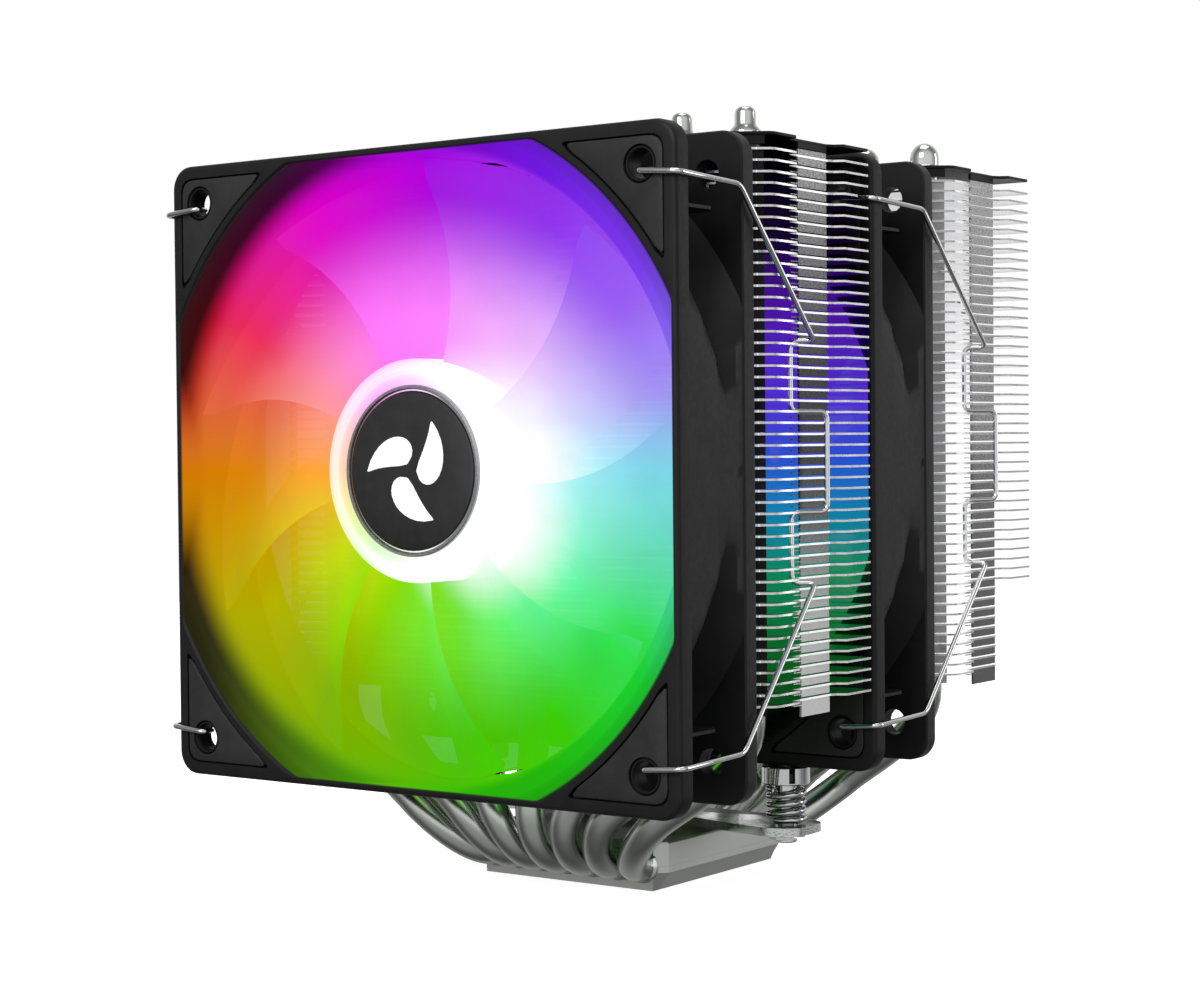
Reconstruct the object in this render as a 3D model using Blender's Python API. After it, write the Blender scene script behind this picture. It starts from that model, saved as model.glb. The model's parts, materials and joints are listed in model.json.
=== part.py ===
"""Dual-tower processor cooler with two fans, made as its separate pieces.

Metres, +Z up. The origin is the centre of the cold plate's contact face. Air flows along +Y
through the front fan, the front tower, the middle fan and the rear tower. Seen from the front,
+X is to the right. Each fan's pieces hang on an empty at the centre of the fan's front face, so
its spin axis is that empty's Y axis.
"""

import math

import bmesh
import bpy
from mathutils import Matrix, Vector
from mathutils.geometry import interpolate_bezier

MM = 0.001
GAP = 0.3 * MM  # clearance between pieces that touch

# Base plates, which clamp the heat pipes between them
BASE_HALF_X = 22.2 * MM
BASE_HALF_Y = 22.0 * MM
BASE_TOP = 9.6 * MM
BASE_BEVEL = 2.5 * MM
CHANNEL_R = 3.15 * MM
CHANNEL_STEPS = 6

# Heat pipes, listed from the middle one outwards
PIPE_R = 3.0 * MM
PIPE_Z = 4.8 * MM
PIPE_PITCH = 6.1 * MM
PIPE_SPLAY_X = (0.0, 9.3 * MM, 18.5 * MM, 30.0 * MM)
PIPE_TOWER_X = (0.0, 18.0 * MM, 36.0 * MM, 50.0 * MM)
PIPE_SPLAY_Z = 15.6 * MM
PIPE_SPLAY_BACK = 1.7 * MM
PIPE_SLANT_RISE = 16.0 * MM
PIPE_STRAIGHT_Z = 36.0 * MM
PIPE_PULLS = (8.0 * MM, 5.0 * MM, 7.0 * MM, 9.0 * MM)  # how strongly the four bends hold their direction
PIPE_BEND_STEPS = 5
PIPE_CRIMP = ((149.6, 0.5), (148.9, 0.67), (145.8, 0.67), (144.9, 1.0))  # height in mm, radius factor
PIPE_DOME = ((147.2, 1.0), (148.7, 0.78), (149.6, 0.3))
PIPE_TIP_Z = 149.6 * MM

# Fin stacks: offsets in depth are measured from a tower's front edge
TOWER_FRONT_Y = {"front": -45.2 * MM, "rear": 24.5 * MM}
TOWER_DEPTH = 40.7 * MM
TOWER_HALF_X = 60.0 * MM
PIPE_ROW_DEPTH = 12.7 * MM
FIN_NOSE_HALF_X = 51.0 * MM
FIN_NOSE_DEPTH = 6.5 * MM
CHANNEL_LIP_DEPTH = 14.6 * MM
CHANNEL_FLOOR = (56.0 * MM, 14.8 * MM)
TAB_HALF_X = 57.5 * MM
TAB_START = 18.9 * MM
TAB_END = 29.4 * MM
TAB_STEP_END = 31.0 * MM
TAB_THICK = 1.2 * MM
STACK_LOW = 39.9 * MM
STACK_TOP = 140.9 * MM
TAB_LOW = 36.9 * MM
FINS = 50
FIN_THICK = 0.4 * MM
SLABS = 8
SLAB_THICK = FIN_THICK * FINS / SLABS
CUTAWAY_TOP = 58.0 * MM
TOP_FIN_LOW = 143.2 * MM
TOP_FIN_THICK = 0.6 * MM
HOLE_SIDES = 6

# Crossbar and its screws
BAR_LOW = 10.0 * MM
BAR_TOP = 12.0 * MM
BAR_HALF_X = 43.0 * MM
BAR_END_HALF_Y = 6.7 * MM
BAR_WAIST_HALF_Y = 5.2 * MM
BAR_WAIST_X = 26.0 * MM
BAR_FLARE_X = 32.0 * MM
BAR_END_BEVEL = 2.2 * MM
BAR_HOLE_SIDES = 10
BAR_SCREW_X = 12.0 * MM
BAR_SCREW_R = 1.4 * MM
BAR_SCREW_HEAD_R = 2.8 * MM
BAR_SCREW_HEAD_TOP = 13.9 * MM
BAR_SCREW_HEAD_EDGE = 0.5 * MM
BAR_SCREW_TIP = 8.4 * MM

# Spring-loaded mounting screws at the crossbar's ends
MOUNT_X = 38.0 * MM
MOUNT_HEAD_R = 4.85 * MM
MOUNT_HEAD_LOW = 20.0 * MM
MOUNT_HEAD_TOP = 22.7 * MM
MOUNT_HEAD_EDGE = 0.4 * MM
MOUNT_SLOT_WIDE = 1.3 * MM
MOUNT_SLOT_DEEP = 1.7 * MM
MOUNT_SHANK_R = 2.2 * MM
MOUNT_TIP = 8.3 * MM
MOUNT_THREAD_R = 1.25 * MM
MOUNT_THREAD_TOP = 15.0 * MM
MOUNT_THREAD_CONE = 0.8 * MM
MOUNT_SIDES = 12
GROOVE_R = 1.55 * MM
GROOVE_LOW = 8.8 * MM
RING_LOW = 9.1 * MM
RING_TOP = 9.7 * MM
RING_IN_R = 1.85 * MM
RING_OUT_R = 3.7 * MM
RING_OPENING = math.radians(70)
RING_STEPS = 10
SPRING_R = 3.2 * MM
SPRING_WIRE_R = 0.6 * MM
SPRING_TURNS = 4
SPRING_STEPS = 8

# Fans: depths are measured from the fan's front face
FAN_PLACE = {
    "front": (0.0, -70.5 * MM, 83.2 * MM),
    "middle": (0.0, -2.85 * MM, 83.8 * MM),
}
FAN_TOWER = {"front": "front", "middle": "rear"}
FAN_HALF = 60.0 * MM
FAN_DEPTH = 25.0 * MM
FAN_CORNER_R = 4.5 * MM
FLANGE = 4.0 * MM
MOUTH_HALF = 58.5 * MM
BARREL_R = 61.4 * MM
BARREL_HALF = 59.7 * MM
DUCT_PROFILE = ((59.8, 25.0), (58.0, 18.5), (58.0, 9.0), (65.5, 0.0))
FRAME_ANGLES = (0.0, 12.25, 27.0, 38.0, 45.0, 52.0, 63.0, 77.75)  # degrees, in each quarter
HOLE_HALF_PITCH = 52.5 * MM
HOLE_R = 2.55 * MM
BORE_SIDES = 8
PAD_HOLE_R = 3.4 * MM
PAD_EDGE = 57.2 * MM
PAD_ARC_R = 67.3 * MM
PAD_CORNER_R = 3.0 * MM
PAD_THICK = 1.0 * MM
PAD_STEPS = 3
STRUT_COUNT = 4
STRUT_IN = 12.0 * MM
STRUT_OUT = 59.5 * MM
STRUT_HALF_WIDE = 2.0 * MM
STRUT_FRONT = 21.8 * MM
STRUT_REAR = 24.5 * MM
MOTOR_SIDES = 16
SEAT_PROFILE = (  # radius and depth in mm, of the motor's seat and bearing tube
    (0.0, 24.6),
    (22.0, 24.6),
    (22.0, 21.4),
    (5.0, 21.4),
    (5.0, 8.0),
    (3.9, 8.0),
    (3.9, 21.0),
    (0.0, 21.0),
)

# Impeller
BLADES = 9
BLADE_THICK = 1.2 * MM
BLADE_RADII = (19.5 * MM, 38.0 * MM, 56.2 * MM)
BLADE_SWEEP = math.radians(24)
BLADE_SPAN = math.radians(33)
BLADE_FRONT = 4.4 * MM
BLADE_REAR = 17.4 * MM
BLADE_CHORD_STEPS = 2
HUB_PROFILE = (  # radius and depth in mm
    (0.0, 2.2),
    (16.1, 2.2),
    (16.1, 1.2),
    (20.0, 1.2),
    (20.75, 2.2),
    (20.75, 18.6),
    (18.7, 18.6),
    (18.7, 4.4),
    (4.2, 4.4),
    (4.2, 6.6),
    (1.8, 6.6),
    (1.8, 3.4),
    (0.0, 3.4),
)

# Motor
STATOR_POLE = ((8.5, -34), (14.4, -30), (14.4, -10), (14.4, 10), (14.4, 30), (8.5, 34))  # mm, degrees
STATOR_IN_R = 5.3 * MM
STATOR_FRONT = 9.0 * MM
STATOR_REAR = 17.5 * MM
FAN_TURNED = {  # profile of radius and depth in mm, sides, finish
    "badge": (((0.0, 1.0), (14.3, 1.0), (14.8, 1.3), (14.8, 1.9), (0.0, 1.9)), 16, "badge_black"),
    "badge_ring": (((15.1, 0.9), (15.8, 0.9), (15.8, 1.9), (15.1, 1.9)), 16, "chrome"),
    "shaft": (((0.0, 3.7), (1.5, 3.7), (1.5, 20.6), (0.0, 20.6)), 12, "spring_steel"),
    "bearing": (((1.6, 8.3), (3.6, 8.3), (3.6, 20.6), (1.6, 20.6)), 12, "bronze"),
    "magnet_ring": (((15.2, 7.0), (18.4, 7.0), (18.4, 18.0), (15.2, 18.0)), 16, "magnet"),
    "light_board": (((5.3, 19.2), (19.5, 19.2), (19.5, 20.9), (5.3, 20.9)), 16, "circuit_board"),
}

# Wire clips
WIRE_R = 0.6 * MM
CLIP_TOWER_GAP = 25.3 * MM  # from a fan's front face to the tower behind it, where the clip fits exactly
CLIP_BEND_R = 1.6 * MM
CLIP_HALF = (  # mm sideways from the hole, behind the face and above its middle, then share of the stretch
    (0.0, 1.9, 51.3, 0),
    (0.0, -0.9, 51.3, 0),
    (8.4, -0.9, 50.6, 0),
    (8.4, 20.5, 50.0, 0),
    (8.5, 43.6, 22.3, 1),
    (4.8, 41.2, 22.3, 1),
    (4.8, 41.2, 9.3, 1),
    (8.5, 48.0, 9.3, 1),
)

FINISHES = {
    "nickel": ((0.62, 0.62, 0.58), 0.22, 1.0),
    "aluminium": ((0.78, 0.79, 0.80), 0.35, 1.0),
    "black_aluminium": ((0.02, 0.02, 0.022), 0.35, 0.6),
    "chrome": ((0.80, 0.81, 0.82), 0.12, 1.0),
    "spring_steel": ((0.70, 0.71, 0.72), 0.2, 1.0),
    "black_plastic": ((0.022, 0.022, 0.024), 0.5, 0.0),
    "black_rubber": ((0.015, 0.015, 0.016), 0.75, 0.0),
    "clear_plastic": ((0.85, 0.87, 0.90), 0.25, 0.0),
    "badge_black": ((0.01, 0.01, 0.012), 0.2, 0.0),
    "bronze": ((0.52, 0.33, 0.16), 0.4, 1.0),
    "copper_winding": ((0.70, 0.30, 0.14), 0.4, 1.0),
    "magnet": ((0.12, 0.12, 0.13), 0.6, 0.3),
    "circuit_board": ((0.03, 0.16, 0.07), 0.5, 0.0),
}


def clear_scene():
    for obj in list(bpy.data.objects):
        bpy.data.objects.remove(obj, do_unlink=True)


def finish(node, kind):
    """A material of the node's own."""
    colour, roughness, metallic = FINISHES[kind]
    made = bpy.data.materials.new(node)
    made.use_nodes = True
    shader = made.node_tree.nodes["Principled BSDF"]
    shader.inputs["Base Color"].default_value = (*colour, 1.0)
    shader.inputs["Roughness"].default_value = roughness
    shader.inputs["Metallic"].default_value = metallic
    return made


# --- Objects ---


def put(name, data, kind=None, parent=None, place=(0.0, 0.0, 0.0)):
    """Links a new object. Without a finish it is a helper, which isn't rendered."""
    obj = bpy.data.objects.new(name, data)
    bpy.context.scene.collection.objects.link(obj)
    obj.parent = parent
    obj.location = place
    if kind is None:
        obj.hide_render = True
        obj.display_type = "WIRE"
        return obj
    obj.data.materials.append(finish(name, kind))
    return obj


def as_mesh(name, bm, smooth=True):
    bmesh.ops.recalc_face_normals(bm, faces=bm.faces)
    mesh = bpy.data.meshes.new(name)
    bm.to_mesh(mesh)
    bm.free()
    if smooth:
        mesh.shade_smooth()
        mesh.set_sharp_from_angle(angle=math.radians(35))
    return mesh


def combine(obj, other, operation):
    made = obj.modifiers.new(operation.lower(), "BOOLEAN")
    made.operation = operation
    made.object = other
    made.solver = "EXACT"


def empty(name, place):
    obj = bpy.data.objects.new(name, None)
    bpy.context.scene.collection.objects.link(obj)
    obj.location = place
    return obj


# --- Shapes ---


def loft(bm, rings):
    """Closes a solid over equal rings of points, with a face at each end."""
    made = [[bm.verts.new(point) for point in ring] for ring in rings]
    for here, there in zip(made, made[1:]):
        for one in range(len(here)):
            two = (one + 1) % len(here)
            bm.faces.new((here[one], here[two], there[two], there[one]))
    bm.faces.new(made[0])
    bm.faces.new(made[-1])


def band(bm, loops):
    """Closes a ring-shaped solid over equal closed loops, the last joined to the first."""
    made = [[bm.verts.new(point) for point in loop] for loop in loops]
    for here, there in zip(made, made[1:] + made[:1]):
        for one in range(len(here)):
            two = (one + 1) % len(here)
            bm.faces.new((here[one], here[two], there[two], there[one]))


def prism_z(bm, outline, low, high):
    loft(bm, [[(x, y, z) for x, y in outline] for z in (low, high)])


def prism_y(bm, outline, front, rear):
    loft(bm, [[(x, y, z) for x, z in outline] for y in (front, rear)])


def in_metres(profile):
    return [(radius * MM, height * MM) for radius, height in profile]


def turned(bm, profile, sides, along="Y", centre=(0.0, 0.0)):
    """Turns a closed (radius, height) outline about a Y or Z axis."""
    rings = []
    for radius, height in profile:
        ring = []
        for side in range(sides):
            angle = math.tau * side / sides
            across = centre[0] + radius * math.cos(angle)
            up = centre[1] + radius * math.sin(angle)
            ring.append((across, height, up) if along == "Y" else (across, up, height))
        if radius:
            rings.append([bm.verts.new(point) for point in ring])
        else:
            rings.append([bm.verts.new(ring[0])] * sides)
    for here, there in zip(rings, rings[1:] + rings[:1]):
        for one in range(sides):
            two = (one + 1) % sides
            corners = tuple(dict.fromkeys((here[one], here[two], there[two], there[one])))
            if len(corners) > 2:
                bm.faces.new(corners)


def rod(bm, radius, low, high, sides, along="Y", centre=(0.0, 0.0)):
    profile = ((0.0, low), (radius, low), (radius, high), (0.0, high))
    turned(bm, profile, sides, along, centre)


def mirrored(half_outline):
    """A closed outline from its +X half, listed from front to rear."""
    return list(half_outline) + [(-x, y) for x, y in reversed(half_outline)]


def rounded_path(corners, radius):
    """Cuts each corner of a path with two points, so that a tube bends smoothly there."""
    path = [corners[0]]
    for before, corner, after in zip(corners, corners[1:], corners[2:]):
        for other in (before, after):
            reach = min(radius, (other - corner).length * 0.45)
            path.append(corner + (other - corner).normalized() * reach)
    path.append(corners[-1])
    return path


def tube(name, points, radius, kind, resolution, parent=None, place=(0.0, 0.0, 0.0), swell=None):
    """A round wire or pipe along the points. swell gives a radius factor for each of them."""
    curve = bpy.data.curves.new(name, "CURVE")
    curve.dimensions = "3D"
    curve.bevel_depth = radius
    curve.bevel_resolution = resolution
    curve.use_fill_caps = True
    spline = curve.splines.new("POLY")
    spline.points.add(len(points) - 1)
    for index, (knot, point) in enumerate(zip(spline.points, points)):
        knot.co = (*point, 1.0)
        knot.radius = swell[index] if swell else 1.0
    return put(name, curve, kind, parent, place)


# --- Base ---


def channel_arcs(sign):
    """The scalloped edge that beds the seven pipes, from +X to -X: below them or above them."""
    outline = []
    inner = math.acos(PIPE_PITCH / 2 / CHANNEL_R)
    outer = math.asin(GAP / 2 / CHANNEL_R)
    for pipe in range(3, -4, -1):
        start = outer if pipe == 3 else inner
        end = outer if pipe == -3 else inner
        for step in range(CHANNEL_STEPS + 1):
            angle = start + (math.pi - start - end) * step / CHANNEL_STEPS
            x = pipe * PIPE_PITCH + CHANNEL_R * math.cos(angle)
            point = (x, PIPE_Z + sign * CHANNEL_R * math.sin(angle))
            if not (step == CHANNEL_STEPS and pipe > -3):
                outline.append(point)
    return outline


def base_plates(bar_screw_holes):
    bottom = [(BASE_HALF_X, PIPE_Z - GAP / 2)] + channel_arcs(-1)
    bottom += [(-BASE_HALF_X, PIPE_Z - GAP / 2), (-BASE_HALF_X, BASE_BEVEL)]
    bottom += [(BASE_BEVEL - BASE_HALF_X, 0.0), (BASE_HALF_X - BASE_BEVEL, 0.0), (BASE_HALF_X, BASE_BEVEL)]
    bm = bmesh.new()
    prism_y(bm, bottom, -BASE_HALF_Y, BASE_HALF_Y)
    put("cold_plate", as_mesh("cold_plate", bm), "nickel")

    top = [(BASE_HALF_X, PIPE_Z + GAP / 2)] + channel_arcs(1)
    top += [(-BASE_HALF_X, PIPE_Z + GAP / 2), (-BASE_HALF_X, BASE_TOP), (BASE_HALF_X, BASE_TOP)]
    bm = bmesh.new()
    prism_y(bm, top, -BASE_HALF_Y, BASE_HALF_Y)
    cover = put("base_cover", as_mesh("base_cover", bm), "nickel")
    combine(cover, bar_screw_holes, "DIFFERENCE")


# --- Heat pipes ---


def pipe_rise(base_x, splay_x, tower_x, side, row_y):
    """Points from the base's edge up to where the pipe stands straight. side is -1 at the front."""
    leave = Vector((base_x, side * BASE_HALF_Y, PIPE_Z))
    splay = Vector((splay_x, row_y + side * PIPE_SPLAY_BACK, PIPE_SPLAY_Z))
    stand = Vector((tower_x, row_y, PIPE_STRAIGHT_Z))
    slant = Vector((tower_x - splay_x, 0.0, PIPE_SLANT_RISE)).normalized()
    run = Vector((0.0, side * PIPE_PULLS[0], 0.0))
    first = interpolate_bezier(leave, leave + run, splay - slant * PIPE_PULLS[1], splay, PIPE_BEND_STEPS)
    lift = Vector((0.0, 0.0, PIPE_PULLS[3]))
    second = interpolate_bezier(splay, splay + slant * PIPE_PULLS[2], stand - lift, stand, PIPE_BEND_STEPS)
    return first + second[1:]


def heat_pipe(index):
    """One U-shaped pipe. Its crimped end stands in the front tower, its domed end in the rear one."""
    order = abs(index)
    sign = 1 if index > 0 else -1
    xs = (index * PIPE_PITCH, sign * PIPE_SPLAY_X[order], sign * PIPE_TOWER_X[order])
    front_row = TOWER_FRONT_Y["front"] + PIPE_ROW_DEPTH
    rear_row = TOWER_FRONT_Y["rear"] + PIPE_ROW_DEPTH
    rising = pipe_rise(*xs, -1, front_row)
    rear = pipe_rise(*xs, 1, rear_row)
    points = [Vector((xs[2], front_row, height * MM)) for height, _ in PIPE_CRIMP]
    points += list(reversed(rising)) + rear
    points += [Vector((xs[2], rear_row, height * MM)) for height, _ in PIPE_DOME]
    swell = [factor for _, factor in PIPE_CRIMP] + [1.0] * (len(rising) + len(rear))
    swell += [factor for _, factor in PIPE_DOME]
    tube(f"heat_pipe_{index + 4}", points, PIPE_R, "nickel", 1, swell=swell)


# --- Fin stacks ---


def fin_outline(front_y, depth):
    """A fin's outline, cut short behind its tabs where depth is less than the tower's."""
    half = [
        (FIN_NOSE_HALF_X, front_y),
        (TOWER_HALF_X, front_y + FIN_NOSE_DEPTH),
        (TOWER_HALF_X, front_y + CHANNEL_LIP_DEPTH),
        (CHANNEL_FLOOR[0], front_y + CHANNEL_FLOOR[1]),
        (TAB_HALF_X, front_y + TAB_START),
        (TAB_HALF_X, front_y + TAB_END),
    ]
    if depth > TAB_STEP_END:
        half.append((TOWER_HALF_X, front_y + TAB_STEP_END))
        half.append((TOWER_HALF_X, front_y + depth))
    return mirrored(half)


def tab_columns(bm, front_y, low, high):
    """The folded tabs at both sides, which space the fins and tie them together."""
    for sign in (-1, 1):
        xs = (sign * TAB_HALF_X, sign * (TAB_HALF_X - TAB_THICK))
        ys = (front_y + TAB_START, front_y + TAB_END)
        outline = [(xs[0], ys[0]), (xs[0], ys[1]), (xs[1], ys[1]), (xs[1], ys[0])]
        prism_z(bm, outline, low, high)


def pipe_holes(tower, row_y):
    radius = (PIPE_R + GAP) / math.cos(math.pi / HOLE_SIDES)
    bm = bmesh.new()
    for index in range(-3, 4):
        x = math.copysign(PIPE_TOWER_X[abs(index)], index)
        rod(bm, radius, TAB_LOW - MM, PIPE_TIP_Z, HOLE_SIDES, "Z", (x, row_y))
    return put(f"pipe_holes_{tower}", as_mesh("pipe_holes", bm, False))


def fin_stack(tower, front_y, holes):
    """Each slab stands for four fins and holds their metal."""
    slabs = bmesh.new()
    step = (STACK_TOP - SLAB_THICK - STACK_LOW) / (SLABS - 1)
    for slab in range(SLABS):
        low = STACK_LOW + slab * step
        short = tower == "rear" and low < CUTAWAY_TOP - SLAB_THICK
        depth = TAB_END if short else TOWER_DEPTH
        prism_z(slabs, fin_outline(front_y, depth), low, low + SLAB_THICK)
    columns = bmesh.new()
    tab_columns(columns, front_y, TAB_LOW, STACK_TOP)
    name = f"fin_stack_{tower}"
    stack = put(name, as_mesh(name, columns), "aluminium")
    combine(stack, put(f"slabs_{tower}", as_mesh("slabs", slabs, False)), "UNION")
    combine(stack, holes, "DIFFERENCE")


def top_fin(tower, front_y, holes):
    fin = bmesh.new()
    prism_z(fin, fin_outline(front_y, TOWER_DEPTH), TOP_FIN_LOW, TOP_FIN_LOW + TOP_FIN_THICK)
    tabs = bmesh.new()
    tab_columns(tabs, front_y, STACK_TOP + GAP, TOP_FIN_LOW + TOP_FIN_THICK / 2)
    name = f"top_fin_{tower}"
    top = put(name, as_mesh(name, fin), "black_aluminium")
    combine(top, put(f"top_tabs_{tower}", as_mesh("top_tabs", tabs, False)), "UNION")
    combine(top, holes, "DIFFERENCE")


# --- Crossbar and mounting screws ---


def bar_outline():
    """Wider at its ends, which are rounded."""
    quarter = [
        (BAR_WAIST_X, BAR_WAIST_HALF_Y),
        (BAR_FLARE_X, BAR_END_HALF_Y),
        (BAR_HALF_X - BAR_END_BEVEL, BAR_END_HALF_Y),
        (BAR_HALF_X, BAR_END_HALF_Y - BAR_END_BEVEL),
    ]
    half = [(x, -y) for x, y in quarter] + [(x, y) for x, y in reversed(quarter)]
    return mirrored(half)


def crossbar():
    outline = bar_outline()
    bm = bmesh.new()
    prism_z(bm, outline, BAR_LOW, BAR_TOP)
    bar = put("crossbar", as_mesh("crossbar", bm), "chrome")
    holes = bmesh.new()
    for x, radius in ((MOUNT_X, MOUNT_SHANK_R + GAP), (BAR_SCREW_X, BAR_SCREW_R + GAP)):
        for sign in (-1, 1):
            rod(holes, radius, BAR_LOW - MM, BAR_TOP + MM, BAR_HOLE_SIDES, "Z", (sign * x, 0.0))
    combine(bar, put("bar_holes", as_mesh("bar_holes", holes, False)), "DIFFERENCE")


def bar_screws():
    """The two short screws that fasten the crossbar to the base. Returns the cutter of their holes."""
    head_low = BAR_TOP + GAP
    profile = (
        (0.0, BAR_SCREW_TIP),
        (BAR_SCREW_R, BAR_SCREW_TIP),
        (BAR_SCREW_R, head_low),
        (BAR_SCREW_HEAD_R, head_low),
        (BAR_SCREW_HEAD_R, BAR_SCREW_HEAD_TOP - BAR_SCREW_HEAD_EDGE),
        (BAR_SCREW_HEAD_R - BAR_SCREW_HEAD_EDGE, BAR_SCREW_HEAD_TOP),
        (0.0, BAR_SCREW_HEAD_TOP),
    )
    holes = bmesh.new()
    for side, sign in (("left", -1), ("right", 1)):
        bm = bmesh.new()
        turned(bm, profile, BAR_HOLE_SIDES, "Z")
        name = f"crossbar_screw_{side}"
        put(name, as_mesh(name, bm), "chrome", place=(sign * BAR_SCREW_X, 0.0, 0.0))
        centre = (sign * BAR_SCREW_X, 0.0)
        rod(holes, BAR_SCREW_R + GAP, BAR_SCREW_TIP - GAP, BASE_TOP + MM, BAR_HOLE_SIDES, "Z", centre)
    return put("base_screw_holes", as_mesh("base_screw_holes", holes, False))


def mounting_screw(side, sign):
    """A slotted head on a shank with a blind thread in its lower end, and a groove for its ring."""
    profile = (
        (0.0, MOUNT_THREAD_TOP),
        (MOUNT_THREAD_R, MOUNT_THREAD_TOP - MOUNT_THREAD_CONE),
        (MOUNT_THREAD_R, MOUNT_TIP),
        (MOUNT_SHANK_R, MOUNT_TIP),
        (MOUNT_SHANK_R, GROOVE_LOW),
        (GROOVE_R, GROOVE_LOW),
        (GROOVE_R, BAR_LOW),
        (MOUNT_SHANK_R, BAR_LOW),
        (MOUNT_SHANK_R, MOUNT_HEAD_LOW),
        (MOUNT_HEAD_R, MOUNT_HEAD_LOW),
        (MOUNT_HEAD_R, MOUNT_HEAD_TOP - MOUNT_HEAD_EDGE),
        (MOUNT_HEAD_R - MOUNT_HEAD_EDGE, MOUNT_HEAD_TOP),
        (0.0, MOUNT_HEAD_TOP),
    )
    bm = bmesh.new()
    turned(bm, profile, MOUNT_SIDES, "Z")
    name = f"mounting_screw_{side}"
    place = (sign * MOUNT_X, 0.0, 0.0)
    screw = put(name, as_mesh(name, bm), "chrome", place=place)
    slot = bmesh.new()
    long = MOUNT_HEAD_R + MM
    wide = MOUNT_SLOT_WIDE / 2
    outline = [(-long, -wide), (long, -wide), (long, wide), (-long, wide)]
    prism_z(slot, outline, MOUNT_HEAD_TOP - MOUNT_SLOT_DEEP, MOUNT_HEAD_TOP + MM)
    combine(screw, put(f"slot_{side}", as_mesh("slot", slot, False), place=place), "DIFFERENCE")


def retaining_ring(side, sign):
    """An open ring in the screw's groove, under the crossbar."""
    outline = []
    for radius, direction in ((RING_OUT_R, 1), (RING_IN_R, -1)):
        for step in range(RING_STEPS + 1):
            part = step / RING_STEPS if direction > 0 else 1 - step / RING_STEPS
            angle = RING_OPENING / 2 + (math.tau - RING_OPENING) * part
            outline.append((radius * math.cos(angle), radius * math.sin(angle)))
    bm = bmesh.new()
    prism_z(bm, outline, RING_LOW, RING_TOP)
    name = f"retaining_ring_{side}"
    put(name, as_mesh(name, bm), "spring_steel", place=(sign * MOUNT_X, 0.0, 0.0))


def screw_spring(side, sign):
    low = BAR_TOP + GAP + SPRING_WIRE_R
    high = MOUNT_HEAD_LOW - GAP - SPRING_WIRE_R
    count = SPRING_TURNS * SPRING_STEPS
    points = []
    for step in range(count + 1):
        angle = math.tau * step / SPRING_STEPS
        height = low + (high - low) * step / count
        points.append((SPRING_R * math.cos(angle), SPRING_R * math.sin(angle), height))
    place = (sign * MOUNT_X, 0.0, 0.0)
    tube(f"screw_spring_{side}", points, SPRING_WIRE_R, "spring_steel", 1, place=place)


# --- Fans ---


def pad_outline(margin):
    """A corner pad in the +X +Z corner, grown by the margin: its long side follows the duct."""
    edge = PAD_EDGE + margin
    radius = PAD_ARC_R - margin
    start = math.acos(edge / radius)
    outline = []
    for step in range(PAD_STEPS + 1):
        angle = start + (math.pi / 2 - 2 * start) * step / PAD_STEPS
        outline.append((radius * math.cos(angle), radius * math.sin(angle)))
    bite = PAD_CORNER_R * (1 - math.sqrt(0.5))
    outline += [(edge - PAD_CORNER_R, edge), (edge - bite, edge - bite), (edge, edge - PAD_CORNER_R)]
    return outline


def turned_corner(outline, quarter):
    turn = Matrix.Rotation(quarter * math.pi / 2, 2)
    return [tuple(turn @ Vector(point)) for point in outline]


def helper(fan, name, bm):
    return put(f"{name}_{fan.name}", as_mesh(name, bm, False), parent=fan)


def frame_loop(depth, radius=None, half=FAN_HALF):
    """A loop round the frame: a circle flattened at the half width or, without a radius, its square."""
    loop = []
    for quarter in range(4):
        for degrees in FRAME_ANGLES:
            angle = math.radians(degrees)
            reach = radius or half / max(math.cos(angle), math.sin(angle))
            if degrees == 45.0 and radius is None:
                reach -= FAN_CORNER_R * (math.sqrt(2) - 1)
            x = max(-half, min(half, reach * math.cos(angle)))
            z = max(-half, min(half, reach * math.sin(angle)))
            x, z = turned_corner([(x, z)], quarter)[0]
            loop.append((x, depth, z))
    return loop


def motor_seat(fan):
    """The disc behind the motor, with the tube that holds the bearing and carries the stator."""
    bm = bmesh.new()
    turned(bm, in_metres(SEAT_PROFILE), MOTOR_SIDES)
    return helper(fan, "motor_seat", bm)


def struts(fan):
    bm = bmesh.new()
    for strut in range(STRUT_COUNT):
        angle = math.tau * (strut + 0.5) / STRUT_COUNT
        turn = Matrix.Rotation(angle, 2)
        outline = []
        for u, v in ((STRUT_IN, -1), (STRUT_OUT, -1), (STRUT_OUT, 1), (STRUT_IN, 1)):
            outline.append(tuple(turn @ Vector((u, v * STRUT_HALF_WIDE))))
        prism_y(bm, outline, STRUT_FRONT, STRUT_REAR)
    return helper(fan, "struts", bm)


def pad_recesses(fan):
    bm = bmesh.new()
    outline = pad_outline(GAP)
    deep = PAD_THICK + GAP
    for quarter in range(4):
        corner = turned_corner(outline, quarter)
        prism_y(bm, corner, -MM, deep)
        prism_y(bm, corner, FAN_DEPTH - deep, FAN_DEPTH + MM)
    return helper(fan, "pad_recesses", bm)


def hole_cutter(fan, name, radius):
    """Four rods on the fixing holes' axes, right through the frame."""
    bm = bmesh.new()
    for sign_x in (-1, 1):
        for sign_z in (-1, 1):
            centre = (sign_x * HOLE_HALF_PITCH, sign_z * HOLE_HALF_PITCH)
            rod(bm, radius, -MM, FAN_DEPTH + MM, BORE_SIDES, "Y", centre)
    return helper(fan, name, bm)


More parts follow.
